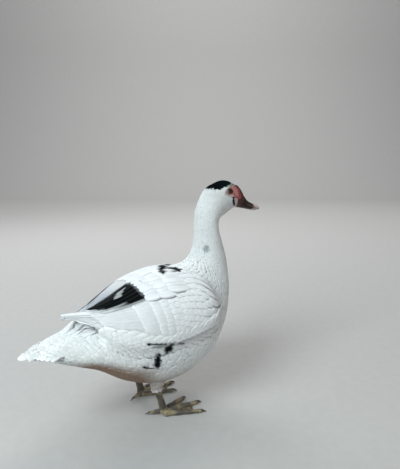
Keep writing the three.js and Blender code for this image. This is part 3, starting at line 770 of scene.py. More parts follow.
def make_skin():
    s = np.concatenate([np.arange(0, 330, 3.3), np.arange(330, 446, 2.0), np.arange(446, END, 0.42), [END]])
    n = 300
    a = np.linspace(-np.pi, np.pi, n, endpoint=False)
    sg, ag = np.meshgrid(s, a, indexing="ij")
    p0 = body(sg, ag)
    bare = mask_share(sg, ag)
    out = -coat_depth(sg) * (1 - bare)
    # knobs of the bare face, larger towards the bill's root and over the eye
    deg = np.abs(ag) / DEG
    size = 0.9 + 1.3 * smooth(sg, 484, 500) * (1 - smooth(deg, 95, 120))
    d1, d2, who = cells(p0, 2.3, 31)
    big1, big2, bwho = cells(p0, 4.6, 77)
    knob = np.sqrt(np.clip(1 - (d1 / 0.72) ** 2, 0, 1)) * (0.45 + 0.55 * who)
    knob2 = np.sqrt(np.clip(1 - (big1 / 0.75) ** 2, 0, 1)) * (0.4 + 0.6 * bwho)
    far = np.ones_like(sg)
    for side, c, nrm, fwd, up in EYES.values():
        d = p0 - c
        x, y = d @ fwd, d @ up
        near = (d @ nrm) > -2
        r = np.hypot(x, y)
        far = np.where(near, np.minimum(far, smooth(r, 4.5, 8.5)), far)
    amp = bare * far * smooth(sg, 462, 470)
    out = out + amp * (0.75 * size * knob + 1.0 * smooth(sg, 478, 494) * knob2 * (1 - smooth(deg, 100, 125)) - 0.35)
    # swollen ridge between eye and bill, and a dip before it
    out = out + bare * 1.2 * np.exp(-((sg - 487) / 3.6) ** 2 - ((deg - 82) / 26) ** 2)
    out = out - bare * 0.9 * np.exp(-((sg - 479) / 2.6) ** 2 - ((deg - 88) / 16) ** 2)
    p = body(sg, ag, out)
    # the socket: skin climbs over the ball to the lids and drops away inside them
    for side, c, nrm, fwd, up in EYES.values():
        d = p - c
        x, y, z = d @ fwd, d @ up, d @ nrm
        r = np.hypot(x, y)
        phi = np.arctan2(y, x)
        gap = lid_gap(phi)
        on = (z > -2) & (r < 11)
        ball = np.sqrt(np.clip((EYE_R + 0.75) ** 2 - r ** 2, 0.3, None))
        w = 1 - smooth(r, gap + 0.6, gap + 4.2)
        znew = z * (1 - w) + np.maximum(ball, 3.2) * w
        ring = np.exp(-((r - gap - 2.9) / 0.55) ** 2) * 0.42
        znew = znew - ring * (r > gap)
        inside = smooth(gap - r, -0.1, 0.5)
        znew = znew * (1 - inside) + 1.2 * inside
        p = np.where(on[..., None], p + ((znew - z)[..., None]) * nrm, p)
    col, _ = coat_colour(sg, ag, p0)
    face = face_colour(sg, ag, p)
    col = col * (1 - bare[..., None]) + face * bare[..., None]
    for side, c, nrm, fwd, up in EYES.values():
        d = p0 - c
        x, y = d @ fwd, d @ up
        r = np.hypot(x, y)
        rim = (1 - smooth(r, lid_gap(np.arctan2(y, x)) + 0.8, lid_gap(np.arctan2(y, x)) + 2.6)) * ((d @ nrm) > 0)
        col = col + (np.array([0.16, 0.045, 0.04]) - col) * (0.8 * rim)[..., None]
    quads = grid_loops(len(s), n, True)
    m = len(s) * n
    verts = np.concatenate([p.reshape(-1, 3), [p[0].mean(0)], [p[-1].mean(0)]])
    cols = np.concatenate([col.reshape(-1, 3), [col[0].mean(0)], [col[-1].mean(0)]])
    j = np.arange(n)
    lowfan = np.stack([(j + 1) % n, j, np.full(n, m)], -1)
    topfan = np.stack([(len(s) - 1) * n + j, (len(s) - 1) * n + (j + 1) % n, np.full(n, m + 1)], -1)
    loops = np.concatenate([quads.ravel(), lowfan.ravel(), topfan.ravel()])
    sizes = np.concatenate([np.full(len(quads), 4), np.full(2 * n, 3)])
    starts = np.concatenate([[0], np.cumsum(sizes)[:-1]])
    bq = bare.reshape(-1)[quads].mean(1) > 0.4
    mi = np.concatenate([bq, np.zeros(n, bool), np.ones(n, bool)]).astype(int)
    uv = np.concatenate([unwrap_body(sg, ag).reshape(-1, 2), [[0.02, 0.5], [0.98, 0.5]]])
    # hips: two short lofts that sink into the trunk, part of the same skin
    parts = [(verts, loops, sizes, cols, uv, mi)]
    for k, side in enumerate((1, -1)):
        t = np.linspace(0, 1, 26)
        ph = np.linspace(-np.pi, np.pi, 48, endpoint=False)
        tg, pg = np.meshgrid(t, ph, indexing="ij")
        q = thigh(side, tg, pg, -2.0)
        vv = q.reshape(-1, 3)
        qq = grid_loops(26, 48, True)
        jj = np.arange(48)
        bot = np.stack([(jj + 1) % 48, jj, np.full(48, len(vv))], -1)
        top = np.stack([25 * 48 + jj, 25 * 48 + (jj + 1) % 48, np.full(48, len(vv) + 1)], -1)
        vv = np.concatenate([vv, [q[0].mean(0)], [q[-1].mean(0)]])
        cc = np.broadcast_to(WHITE * 0.9, vv.shape)
        uu = np.concatenate([np.stack([0.01 + 0.012 * tg + 0.0 * pg, 0.2 + 0.5 * (k) + 0.04 * pg], -1).reshape(-1, 2), [[0.01, 0.2 + 0.5 * k], [0.02, 0.2 + 0.5 * k]]])
        parts.append((vv, np.concatenate([qq.ravel(), bot.ravel(), top.ravel()]), np.concatenate([np.full(len(qq), 4), np.full(96, 3)]), cc, uu, np.zeros(len(qq) + 96, int)))
    base = 0
    allv, alll, alls, allc, allu, allm = [], [], [], [], [], []
    for vv, ll, ss, cc, uu, mm in parts:
        allv.append(vv), alll.append(ll + base), alls.append(ss), allc.append(cc), allu.append(uu), allm.append(mm)
        base += len(vv)
    sizes = np.concatenate(alls)
    return mesh_object("skin", np.concatenate(allv), np.concatenate(alll), np.concatenate([[0], np.cumsum(sizes)[:-1]]),
                       np.concatenate(allc), {"OFBake": np.concatenate(allu)}, None, (M_SKIN, M_FACE), np.concatenate(allm))


def thigh(side, t, ang, out=0.0):
    """Feathered thigh: t 0 at the hem by the heel, 1 inside the trunk."""
    w = 8.6 + 26 * t ** 1.25 + out
    x = 42 + 2 - 2 * t + 18 * t * t
    z = 55 - 4 + 62 * t
    return np.stack([x + w * 1.2 * np.cos(ang), side * (38 + 6 * t) + w * np.sin(ang), z + 0 * w], -1)


# ---------------------------------------------------------------- coat of the body
def size_along(table):
    table = np.array(table, float)
    return lambda s: np.interp(s, table[:, 0], table[:, 1])


E_S = size_along([[0, 9.5], [40, 8.5], [110, 7.2], [230, 6.6], [300, 5.8], [345, 4.6], [375, 3.6], [430, 3.2], [450, 2.7], [470, 2.2], [END, 1.7]])
C_S = size_along([[0, 10], [40, 9], [110, 8], [230, 7.6], [300, 6.8], [345, 5.2], [375, 4.0], [430, 3.6], [450, 2.9], [470, 2.4], [END, 1.8]])


def e_of(s, a, p):
    return E_S(s)


def c_of(s, a, p):
    return C_S(s)


def under_wing(s, a, p):
    """True where a folded wing hides the body for good."""
    u = wing_u(p[..., 0])
    side_ang = np.degrees(np.arctan2(np.abs(p[..., 1]) / np.interp(u, WK / 10, WING[:, 2]), (p[..., 2] - np.interp(u, WK / 10, WING[:, 1])) / np.interp(u, WK / 10, WING[:, 3])))
    top = np.interp(u, WK / 10, WING[:, 4])
    bottom = np.interp(u, WK / 10, WING[:, 5])
    return (side_ang > top + 7) & (side_ang < bottom - 16) & (p[..., 0] < 118) & (p[..., 0] > -62) & (s < 300)


def coat():
    mm = {}

    def part(name, lo, hi, stations, seed, shape, keep=lambda s, a, p: np.ones(len(s), bool), round_from=0.6, split=1):
        s, a = rows_on_body(lo, hi, e_of, c_of, lambda s, a, p: keep(s, a, p) & ~under_wing(s, a, p) & (mask_share(s, a) < 0.35), seed)
        r = np.random.default_rng(seed + 1)
        n = len(s)
        p = body(np.clip(s, 0, END), a)
        e, c = E_S(s), C_S(s)
        over, wide, tipout, lifts = shape
        L = e * over * (1 + 0.16 * (r.random(n) - 0.5))
        W = c * wide * (1 + 0.12 * (r.random(n) - 0.5))
        d = coat_depth(s)
        h0 = -d * 0.95
        h1 = tipout * d + lifts * d * (r.random(n) - 0.35)
        yaw = (r.random(n) - 0.5) * 0.16
        order = np.argsort(a)
        for k in range(split):
            i = order[k * n // split:(k + 1) * n // split] if split > 1 else np.arange(n)
            nm = name if split == 1 else f"{name}_{k + 1}"
            mm[nm] = body_vanes(nm, s[i], a[i], L[i], W[i], h0[i], h1[i], np.clip(0.02 * W[i, None, None], 0.1, 0.2), stations, COAT, yaw[i],
                                camber=0.022, fray=0.06, round_from=round_from)
        return n

    counts = {}
    counts["coat_trunk"] = part("coat_trunk", -1, 262, T_MID, 100, (3.3, 1.85, 0.03, 0.05), split=3)
    counts["coat_breast"] = part("coat_breast", 262, 352, T_MID, 200, (3.3, 1.85, 0.03, 0.05))
    counts["coat_neck"] = part("coat_neck", 352, 446, T_MID, 300, (3.4, 1.85, 0.02, 0.05))
    counts["coat_head"] = part("coat_head", 446, END - 1, T_SMALL, 400, (3.3, 1.85, 0.02, 0.05), split=2)
    print("vanes", counts)
    return mm


def crest():
    """Longer loose feathers behind the crown."""
    r = np.random.default_rng(55)
    n = 60
    s = 456 + 14 * r.random(n)
    a = (r.random(n) - 0.5) * 2 * 34 * DEG
    L = 7 + 4 * r.random(n)
    return body_vanes("crest", s, a, L, 2.6 + 1.2 * r.random(n), np.full(n, -0.6), 0.2 + 0.5 * r.random(n), np.full((n, 1, 1), 0.16), T_MID, COAT,
                      (r.random(n) - 0.5) * 0.5, round_from=0.35, curl=0.1 + 0.5 * r.random(n),
                      tintf=lambda s, a, p: coat_colour(np.clip(s + 3, 0, END), a, p))


# ---------------------------------------------------------------- long vanes on a sheet
def sheet_vanes(name, place_of, spec, mats, stations=T_LONG, fray=0.05, uv_at=None, camber=0.010):
    """Vanes laid on a sheet. spec rows: along0, L, v0, v1, W, h0, h1, tilt, black, tint r g b, round_from."""
    spec = np.array(spec, float)
    N = len(spec)
    x0, L, v0, v1, W, h0, h1, tilt, black = spec[:, :9].T
    rgb, rf = spec[:, 9:12], spec[:, 12]
    t = stations[None, :, None]

    def bc(z):
        return z[:, None, None]
    vc = bc(v0) + (bc(v1) - bc(v0)) * t
    xc = bc(x0) - t * bc(L)
    e = 0.004
    mv = np.linalg.norm(place_of(xc, vc + e, 0) - place_of(xc, vc - e, 0), axis=-1) / (2 * e)
    mv = np.maximum(mv, 8)
    f = np.stack([outline(stations, r0, 0.55, 2.3) for r0 in rf])[:, :, None]
    jag = 1 + fray * (np.random.default_rng(len(name)).random((N, len(stations), 6)) * 2 - 1) * (np.abs(Q6) == 1)
    v = vc + Q6 * bc(W) / 2 * f * jag / mv
    xx = np.broadcast_to(xc, v.shape)
    h = bc(h0) + (bc(h1) - bc(h0)) * (1 - (1 - t) ** 2) + bc(tilt) * Q6 * 0.5 - camber * bc(W) * Q6 ** 2 - UNDER * 0.22
    P = place_of(xx, v, h)
    tip = place_of((x0 - L)[:, None], v1[:, None], (h1 - 0.1)[:, None])[:, 0]
    col = np.broadcast_to(rgb[:, None, None, :], (N, len(stations), 6, 3)).copy()
    own = (np.random.default_rng(len(name) + 5).random((N, 1, 1, 3)) - 0.5) * 2.0
    k = np.where(bc(black) > 1, mantle_black(P + own), place_black(P + own))
    k = np.where(bc(black) < 0, 0, np.where(bc(black) == 1, 1, k))
    col = col + (BLACK - col) * k[..., None]
    black = k[:, 2:, :5].min((1, 2)) > 0.5
    # lavender-grey over the far wing's inner feathers, strongest along the shafts: painted bluish shade
    lav_shade = smooth(-P[..., 0], -4, 16) * smooth(P[..., 1], -3, 2) * (1 - smooth(P[..., 1], 34, 48)) * smooth(P[..., 2], 172, 178)
    lav_shade = lav_shade * (0.55 + 0.45 * np.random.default_rng(len(name) + 9).random((N, 1, 1))) * (1 - 0.5 * np.abs(Q6)) * (1 - k)
    col = col + (LAV_SHADE - col) * lav_shade[..., None]
    # painted shade: each feather darker towards its covered root
    col = col * (0.90 + 0.10 * smooth(stations, 0.35, 0.9))[None, :, None, None]
    vane = np.stack(np.broadcast_arrays(stations[:, None], (Q6 + 1)[None, :] / 2), -1)
    bake = uv_at(x0, v0)
    return build_vanes(P, tip, col, vane, bake, stations, name, mats, black.astype(int))


# bluish lavender-grey used as painted shade on white feathers
LAV_SHADE = np.array([0.36, 0.41, 0.52])
PALE = np.array([0.86, 0.885, 0.90])


def wing_feathers(side):
    label = "right" if side < 0 else "left"
    r = np.random.default_rng(901 if side < 0 else 902)

    def on(x, v, h):
        return wing(side, wing_u(x) + np.maximum(-98 - x, 0) / 170, v, h)

    def uv_at(x, v):
        return np.stack([0.05 + 0.9 * (137 - np.asarray(x)) / 250, 0.1 + 0.75 * np.clip(np.asarray(v), -0.1, 1.1)], -1)

    # white, turned by a share k towards the painted bluish shade
    def pale(k=0.0):
        return list((PALE + (LAV_SHADE - PALE) * k) * (1 + 0.05 * (r.random() - 0.5)))

    bridge = 0.0 if side < 0 else -0.10
    out = {}
    # primaries: the points of the wing
    prim = []
    tips = [(-98.5, 0.32), (-98.5, 0.44), (-96, 0.55), (-91, 0.66), (-83, 0.76), (-74, 0.83), (-64, 0.88)]
    for i, (xt, v1) in enumerate(tips):
        prim.append([-2 - 3 * i, -2 - 3 * i - xt, 0.30 + 0.08 * i, v1, 15, -1.4 - 0.12 * i, 0.1 - 0.12 * i, 0.4, 0, *pale(), 0.5])
    # secondaries: long panel under the tertials, tips stepped along the rear
    sec = []
    for i in range(11):
        k = i / 10
        v0, v1 = 0.40 + 0.57 * k, 0.24 + 0.64 * k
        x0 = 22 + 4 * k
        xt = -62 + 16 * k - 2 * (i % 2)
        sec.append([x0, x0 - xt, v0, v1, 20, -0.9, 0.0, 0.25, 0, *pale(0.02), 0.72])
    # greater coverts
    gc = []
    for i in range(12):
        k = i / 11
        gc.append([42 - 2 * k + 1.5 * (r.random() - 0.5), 46 - 6 * k, 0.36 + 0.62 * k, 0.33 + 0.62 * k, 21, -0.5, 0.2, 0.12, 0, *pale(), 0.66])
    # median coverts, two rows
    mc = []
    for j, x0 in enumerate((50, 62)):
        for i in range(14):
            k = (i + 0.5 * (j % 2)) / 13.5
            mc.append([x0 + 1.5 * (r.random() - 0.5), 32 - 3 * k, 0.30 + 0.70 * k, 0.28 + 0.70 * k, 19, -0.5, 0.35, 0.10, 0, *pale(), 0.6])
    # tertials: the broad inner feathers
    ter = []
    if side < 0:
        rows = [(0.335, 0.165, 88), (0.265, 0.115, 92), (0.19, 0.07, 90), (0.115, 0.03, 84), (0.045, -0.01, 76)]
        for i, (v0, v1, length) in enumerate(rows):
            ter.append([34 - i, length + 1, v0, v1, 24, 0.2 + 0.2 * i, 0.5 + 0.22 * i, 0.9, 0, *pale(0.12), 0.62])
    else:
        rows = [(0.37, 0.20, 84), (0.30, 0.165, 88), (0.23, 0.12, 92), (0.16, 0.07, 92), (0.09, 0.02, 90), (0.03, -0.03, 86), (-0.03, -0.07, 76)]
        for i, (v0, v1, length) in enumerate(rows):
            ter.append([34 - i, length, v0, v1, 19, -0.2 + 0.12 * i, 0.15 + 0.14 * i, 0.8, 0, *pale(0.05), 0.62])
    # scapulars: rounded white lobes over the tertials' roots
    sca = []
    for j, (x0, L) in enumerate(((92, 38), (76, 40), (60, 42))):
        for i in range(6):
            v = bridge + (0.385 - bridge) * (i + 0.5 * (j % 2)) / 5.3
            sca.append([x0 + 2 * (r.random() - 0.5) - (2.0 if j == 2 and i % 2 else 0), L + 2 * (r.random() - 0.5), v, v * 0.98, 24, 0.1, 1.0 + 0.15 * (i % 2), 0.15, 2, *pale(0.12 if j == 2 else 0.02), 0.55])
    # lesser coverts, small scales over the shoulder
    les = []
    for j in range(9):
        x0 = 132 - 8.2 * j
        u = float(wing_u(x0))
        width = float(np.linalg.norm(np.diff(wing(side, u, np.linspace(0, 1, 40)), axis=0), axis=-1).sum())
        n = max(3, int(width / 9.0))
        for i in range(n + 1):
            v = min(1.0, max(-0.01, (i + 0.5 * (j % 2)) / n))
            les.append([x0 + 2 * (r.random() - 0.5), 23, v, v, 16, -0.9, 0.35 + 0.12 * r.random(), 0.05, 0, *pale(), 0.55])
    if side < 0:
        # a ragged pale tuft over the black of the back
        tuft = []
        for i in range(9):
            v = 0.004 + 0.013 * i
            tuft.append([7 - 1.2 * i + 3 * r.random(), 13 + 5 * r.random(), v, v + 0.03 * (r.random() - 0.5), 3.4, 0.8, 2.0 + 0.5 * r.random(), 0.2, -1, 0.44, 0.47, 0.48, 0.3])
        sca_tuft = sheet_vanes("back_tuft", on, tuft, LONG, T_MID, fray=0.2, uv_at=uv_at)
        out["back_tuft"] = sca_tuft
    for nm, spec in (("primaries", prim), ("secondaries", sec), ("greater_coverts", gc), ("median_coverts", mc), ("tertials", ter), ("scapulars", sca), ("lesser_coverts", les)):
        key = f"{nm}_{label}"
        out[key] = sheet_vanes(key, on, spec, LONG, T_LONG, uv_at=uv_at, camber=0.024 if nm in ("median_coverts", "scapulars", "lesser_coverts") else 0.018)
    # the wing's own sheet under them
    nu, nv = 90, 44
    g = np.linspace(0, 1, nu)
    h = np.linspace(0.0, 1.0, nv)
    gg, hh = np.meshgrid(g, h, indexing="ij")
    gg = gg * (0.975 - 0.13 * smooth(hh, 0.45, 1.05) - 0.05 * smooth(-hh, -0.3, 0.05))
    top = wing(side, gg, hh, -2.2)
    th = np.interp(g, WK / 10, WING[:, 6])[:, None] * np.clip(np.sin(np.pi * h), 0.05, 1) ** 0.5 * 0.55 + 0.3
    low = wing(side, gg, hh, -2.2 - th)
    ring = np.concatenate([top, low[:, ::-1]], 1)
    verts = ring.reshape(-1, 3)
    quads = grid_loops(nu, 2 * nv, True)
    e0 = np.arange(2 * nv)
    loops = np.concatenate([quads.ravel(), e0[::-1], (nu - 1) * 2 * nv + e0])
    sizes = np.concatenate([np.full(len(quads), 4), [2 * nv, 2 * nv]])
    vv = np.concatenate([hh, hh[:, ::-1]], 1)
    uu = np.concatenate([gg, gg], 1)
    blackp = place_black(ring)
    col = PALE * 0.92 + (BLACK - PALE * 0.92) * blackp[..., None]
    uvb = np.stack([0.05 + 0.9 * uu, np.concatenate([0.1 + 0.75 * hh, 0.12 + 0.75 * hh[:, ::-1]], 1)], -1).reshape(-1, 2)
    out[f"wing_sheet_{label}"] = mesh_object(f"wing_sheet_{label}", verts, loops, np.concatenate([[0], np.cumsum(sizes)[:-1]]), col.reshape(-1, 3), {"OFBake": uvb}, None, (M_SKIN,))
    return out


LAP_EDGE = np.array([[0.0, 0.84], [0.12, 0.90], [0.20, 0.94], [0.30, 0.96], [0.342, 0.965], [0.418, 0.965], [0.471, 0.92], [0.544, 0.823], [0.584, 0.783], [0.63, 0.80], [0.675, 0.856], [0.71, 0.93], [0.73, 1.0]])


def widest(P, x, z):
    """How far out a cloud of points reaches over a grid in x and z."""
    g = np.zeros((len(x), len(z)))
    i = np.round((P[..., 0].ravel() - x[0]) / (x[1] - x[0])).astype(int)
    j = np.round((P[..., 2].ravel() - z[0]) / (z[1] - z[0])).astype(int)
    ok = (i >= 0) & (i < len(x)) & (j >= 0) & (j < len(z))
    np.maximum.at(g, (i[ok], j[ok]), np.abs(P[..., 1].ravel()[ok]))
    return g


def around(g, n, what):
    for ax in (0, 1):
        q = np.pad(g, [(n, n) if k == ax else (0, 0) for k in (0, 1)], mode="edge")
        g = what(np.stack([np.take(q, np.arange(m, m + g.shape[ax]), ax) for m in range(2 * n + 1)]), axis=0)
    return g


def flank_feathers(side):
    """Soft feathers that lap from the flank over the lower edge of the folded wing."""
    label = "right" if side < 0 else "left"
    r = np.random.default_rng(61 if side < 0 else 62)
    X, Z = np.arange(-112, 166, 1.5), np.arange(44, 246, 1.5)
    S, A = np.meshgrid(np.arange(0, 330, 0.7), side * np.linspace(0.02, np.pi - 0.02, 520), indexing="ij")
    U, V = np.meshgrid(np.linspace(0, 1, 380), np.linspace(0, 1, 300), indexing="ij")
    raw = np.maximum(widest(body(S, A), X, Z), widest(wing(side, U, V), X, Z))
    raw = around(raw, 1, np.max)
    for j in range(len(Z) - 2, -1, -1):  # falls away gently below the wing's edge
        raw[:, j] = np.maximum(raw[:, j], raw[:, j + 1] - 0.42 * 1.5)
    g = around(around(raw, 3, np.mean), 3, np.mean)
    g = around(np.maximum(g, raw), 2, np.mean)

    def on(x, z, h):
        fx, fz = (x - X[0]) / 1.5, (z - Z[0]) / 1.5
        i, j = np.clip(fx.astype(int), 0, len(X) - 2), np.clip(fz.astype(int), 0, len(Z) - 2)
        a, b = fx - i, fz - j
        y = (g[i, j] * (1 - a) + g[i + 1, j] * a) * (1 - b) + (g[i, j + 1] * (1 - a) + g[i + 1, j + 1] * a) * b
        return np.stack([x + 0 * y, side * (y + h), z + 0 * y], -1)

    rows, sink = [], []
    for n, xt in enumerate(np.arange(118, -59, -6.0)):
        ut = float(wing_u(xt))
        top = wing(side, ut, np.interp(ut, LAP_EDGE[:, 0], LAP_EDGE[:, 1]))[2]
        low = wing(side, ut, 1.0)[2]
        L = 25 + 3 * r.random()
        rise = float(wing(side, float(wing_u(xt)), 1.0)[2] - wing(side, float(wing_u(xt + L)), 1.0)[2])
        zt = top - 3.0 * (n % 2)
        while zt > low - 17:
            rows.append([xt + 1.5 * (r.random() - 0.5), zt + 1.5 * (r.random() - 0.5), L, 0.85 * rise + 2.5])
            sink.append(0.4 * float(smooth(low - zt, 4, 20)))
            zt -= 6.0
    rows, sink = np.array(rows), np.array(sink)
    N = len(rows)
    st = T_MID
    t = st[None, :, None]
    xt, zt, L, rise = (v[:, None, None] for v in rows.T)
    f = outline(t, 0.5)
    W = 14.0 + 2 * r.random((N, 1, 1))
    slope = rise / L
    cross = Q6 * W / 2 * f * (1 + 0.06 * (r.random((N, len(st), 6)) * 2 - 1) * (np.abs(Q6) == 1))
    x = xt + L * (1 - t) + cross * slope
    z = zt - rise * (1 - t) + cross * 1.0
    h = -1.7 + (0.5 + 0.08 * r.random((N, 1, 1)) + 1.7 - sink[:, None, None]) * (1 - (1 - t) ** 2) - 0.026 * W * Q6 ** 2 - UNDER * 0.2
    P = on(x, z, h)
    tip = on(rows[:, 0], rows[:, 1], 0.45 - sink)
    own = (r.random((N, 1, 1, 3)) - 0.5) * 1.6
    col, k = coat_colour(np.full(P.shape[:-1], 200.0), np.full(P.shape[:-1], side * 90 * DEG), P + own)
    # painted shade: each feather darker towards its covered root; the rest is random tone
    col = col * (1 + 0.04 * (r.random((N, 1, 1, 1)) - 0.5)) * (0.88 + 0.12 * smooth(st, 0.35, 0.9))[None, :, None, None]
    black = k[:, 1:, :5].min((1, 2)) > 0.5
    vane = np.stack(np.broadcast_arrays(st[:, None], (Q6 + 1)[None, :] / 2), -1)
    bake = np.stack([0.1 + 0.8 * (rows[:, 0] + 112) / 262, 0.1 + 0.8 * (rows[:, 1] - 44) / 200], -1)
    return build_vanes(P, tip, col, vane, bake, st, f"flank_feathers_{label}", COAT, black.astype(int))


def vent_feathers():
    """Loose feathers under the tail's root."""
    r = np.random.default_rng(88)
    n = 54
    a = np.concatenate([-(104 + 60 * r.random(n // 2)), 104 + 60 * r.random(n // 2)]) * DEG
    s = 14 + 26 * r.random(n)
    return body_vanes("vent_feathers", s, a, 24 + 8 * r.random(n), 9 + 3 * r.random(n), np.full(n, -1.3), 1.5 + 3.8 * r.random(n) * np.clip((40 - s) / 20, 0.2, 1), np.full((n, 1, 1), 0.2),
                      T_MID, COAT, (r.random(n) - 0.5) * 0.5, camber=0.03, fray=0.12, round_from=0.4)


def tail_feathers():
    def on(x, c, h):
        return tail((-78 - x) / 71.0 / (1 - 0.4 * np.minimum(c * c, 1)), c, h)

    r = np.random.default_rng(77)
    spec = []
    n = 7
    for i in list(range(n - 1, -1, -1)):
        for sg in (-1, 1):
            c = sg * (i + 0.45) / n * 0.97
            length = 70 * (1 - 0.4 * c * c) + 1
            spec.append([-70, length + 1.5 * (r.random() - 0.5), c * 0.86, c, 17.5 - 0.5 * i, 0.3 + 0.2 * (n - i), 0.4 + 0.2 * (n - i), -0.8 * sg, 0,
                         *(PALE * (1 + 0.04 * (r.random() - 0.5))), 0.66])
    uv_at = lambda x, c: np.stack([0.2 + 0.003 * np.abs(x), 0.5 + 0.4 * c], -1)
    out = {"tail_feathers": sheet_vanes("tail_feathers", on, spec, LONG, T_LONG, uv_at=uv_at)}
    under = []
    for i in range(n - 1, -1, -1):
        for sg in (-1, 1):
            c = sg * (i + 0.4) / n * 0.95
            length = 69 * (1 - 0.4 * c * c) * 0.93
            under.append([-72, length, c * 0.8, c * 0.97, 19, -3.4, -0.6, 1.0 * sg, -1, *(PALE * 0.96), 0.66])
    out["tail_underside"] = sheet_vanes("tail_underside", on, under, LONG, T_MID, uv_at=uv_at)
    return out


# ---------------------------------------------------------------- thigh feathers
def thigh_coat(side):
    label = "right" if side < 0 else "left"
    r = np.random.default_rng(31 if side < 0 else 32)
    t0, g0 = [], []
    for k in range(14):
        t = 0.02 + 0.062 * k
        w = 8.6 + 26 * t ** 1.25
        n = int(2 * np.pi * w * 1.1 / 6.2)
        t0 += [t + 0.012 * r.random() for _ in range(n)]
        g0 += [(i + 0.5 * (k % 2)) / n * 2 * np.pi + 0.1 * r.random() for i in range(n)]
    t0, g0 = np.array(t0) + 0.14, np.array(g0)
    N = len(t0)
    st = T_MID
    L = 15 * (1 + 0.2 * (r.random(N) - 0.5))
    t = st[None, :, None]
    tt = t0[:, None, None] - t * L[:, None, None] / 62
    tc = np.clip(tt, 0.0, 1)
    w = 8.6 + 26 * tc ** 1.25
    f = outline(t, 0.55)
    ang = g0[:, None, None] + Q6 * (4.9 * f) / w
    h = -1.9 + 2.1 * t - 0.6 * Q6 ** 2 * f - UNDER * 0.3
    P = thigh(side, tc, ang, h)
    over = (tc - tt) * 62
    P[..., 2] -= np.broadcast_to(over, P.shape[:-1])
    tip_t = t0 - L / 62
    tipc = np.clip(tip_t, 0, 1)
    tip = thigh(side, tipc, g0, 0.1)
    tip[:, 2] -= (tipc - tip_t) * 62
    # thigh feathers tinted with the mud stain and painted shade of the underside
    col = WHITE * 0.97 + (MUD_AND_SHADE - WHITE * 0.97) * (0.45 + 0.25 * r.random((N, 1)))
    tintv = np.broadcast_to(col[:, None, None, :], (N, len(st), 6, 3)).copy()
    vane = np.stack(np.broadcast_arrays(st[:, None], (Q6 + 1)[None, :] / 2), -1)
    uvb = np.stack([0.1 + 0.8 * t0, 0.05 + 0.9 * (g0 % (2 * np.pi)) / (2 * np.pi)], -1)
    return build_vanes(P, tip, tintv, vane, uvb, st, f"coat_thigh_{label}", COAT, np.zeros(N, int))


# ---------------------------------------------------------------- eyes and lids
def eye_ball(label):
    side, c, nrm, fwd, up = EYES[label]
    nt, npn = 40, 64
    th = np.linspace(0.0, np.pi * 0.98, nt)
    ph = np.linspace(0, 2 * np.pi, npn, endpoint=False)
    tg, pg = np.meshgrid(th, ph, indexing="ij")
    cornea = 0.32 * smooth(0.62 - tg, 0, 0.42)
    r = EYE_R - 0.12 + cornea
    d = np.cos(tg)[..., None] * nrm + (np.sin(tg) * np.cos(pg))[..., None] * fwd + (np.sin(tg) * np.sin(pg))[..., None] * up
    verts = (c + r[..., None] * d).reshape(-1, 3)
    quads = grid_loops(nt, npn, True)
    if side > 0:
        pass
    loops = np.concatenate([quads.ravel(), (nt - 1) * npn + np.arange(npn)])
    sizes = np.concatenate([np.full(len(quads), 4), [npn]])
    uv = np.stack([0.5 + 0.45 * tg / np.pi * np.cos(pg), 0.5 + 0.45 * tg / np.pi * np.sin(pg)], -1).reshape(-1, 2)
    ob = mesh_object(f"eyeball_{label}", verts, loops, np.concatenate([[0], np.cumsum(sizes)[:-1]]), None, {"OFBake": uv}, None, (M_EYE,), None, {"gaze": tg.reshape(-1)})
    return ob


def lids(label):
    """Two lids as one thick almond rim that hugs the ball, the upper one heavier."""
    side, c, nrm, fwd, up = EYES[label]
    n, m = 120, 14
    phi = np.linspace(0, 2 * np.pi, n, endpoint=False)
    ps = np.linspace(0, 2 * np.pi, m, endpoint=False)
    pg, sg = np.meshgrid(phi, ps, indexing="ij")
    gap = lid_gap(pg)
    upper = np.clip(np.sin(pg), 0, 1)
    tube = 0.62 + 0.35 * upper + 0.12 * np.sin(pg * 23) * 0.3
    R = EYE_R + 0.38
    rr = gap + tube * np.cos(sg) * 1.15 + 0.45
    zz = np.sqrt(np.clip(R ** 2 - gap ** 2, 1, None)) - 0.28 * (rr - gap) + tube * np.sin(sg) * 0.75
    P = c + (rr * np.cos(pg))[..., None] * fwd + (rr * np.sin(pg))[..., None] * up + zz[..., None] * nrm
    quads = grid_loops(n, m, True)
    i = np.arange(n)
    wrap = np.stack([(n - 1) * m + np.arange(m), (n - 1) * m + (np.arange(m) + 1) % m, (np.arange(m) + 1) % m, np.arange(m)], -1)
    loops = np.concatenate([quads.ravel(), wrap.ravel()])
    sizes = np.full(len(quads) + m, 4)
    inner = smooth(np.cos(sg), -0.2, -0.9)
    base = np.array([0.12, 0.040, 0.034]) + (np.array([0.030, 0.012, 0.010]) - np.array([0.12, 0.040, 0.034])) * smooth(-np.cos(sg), 0.0, 0.8)[..., None]
    base = base + (np.array([0.40, 0.27, 0.24]) - base) * (0.30 * smooth(np.cos(sg), 0.3, 0.9))[..., None]
    uv = np.stack([0.5 + 0.04 * rr * np.cos(pg), 0.5 + 0.04 * rr * np.sin(pg)], -1).reshape(-1, 2)
    return mesh_object(f"lids_{label}", P.reshape(-1, 3), loops, np.concatenate([[0], np.cumsum(sizes)[:-1]]), base.reshape(-1, 3), {"OFBake": uv}, None, (M_FACE,))


# ---------------------------------------------------------------- bill
BX, BZ = math.cos(17 * DEG), -math.sin(17 * DEG)


def bill_point(l, y, h):
    p = np.stack([228 + l * BX - h * BZ, y, 330.5 + l * BZ + h * BX], -1)
    return turned(p, 1.0)


UPPER = np.array([[0, 14, 21], [12, 13, 18], [20, 12.2, 14.5], [28, 11.4, 10.8], [38, 11, 8.2], [48, 11.4, 7.4], [58, 11.2, 7.1], [66.5, 7.5, 5.2]], float)
LOWER = np.array([[2, 11.5, 8.5], [14, 10.8, 7.4], [26, 10, 6], [40, 9.7, 4.8], [52, 9.8, 3.8], [61, 6.8, 2.4]], float)


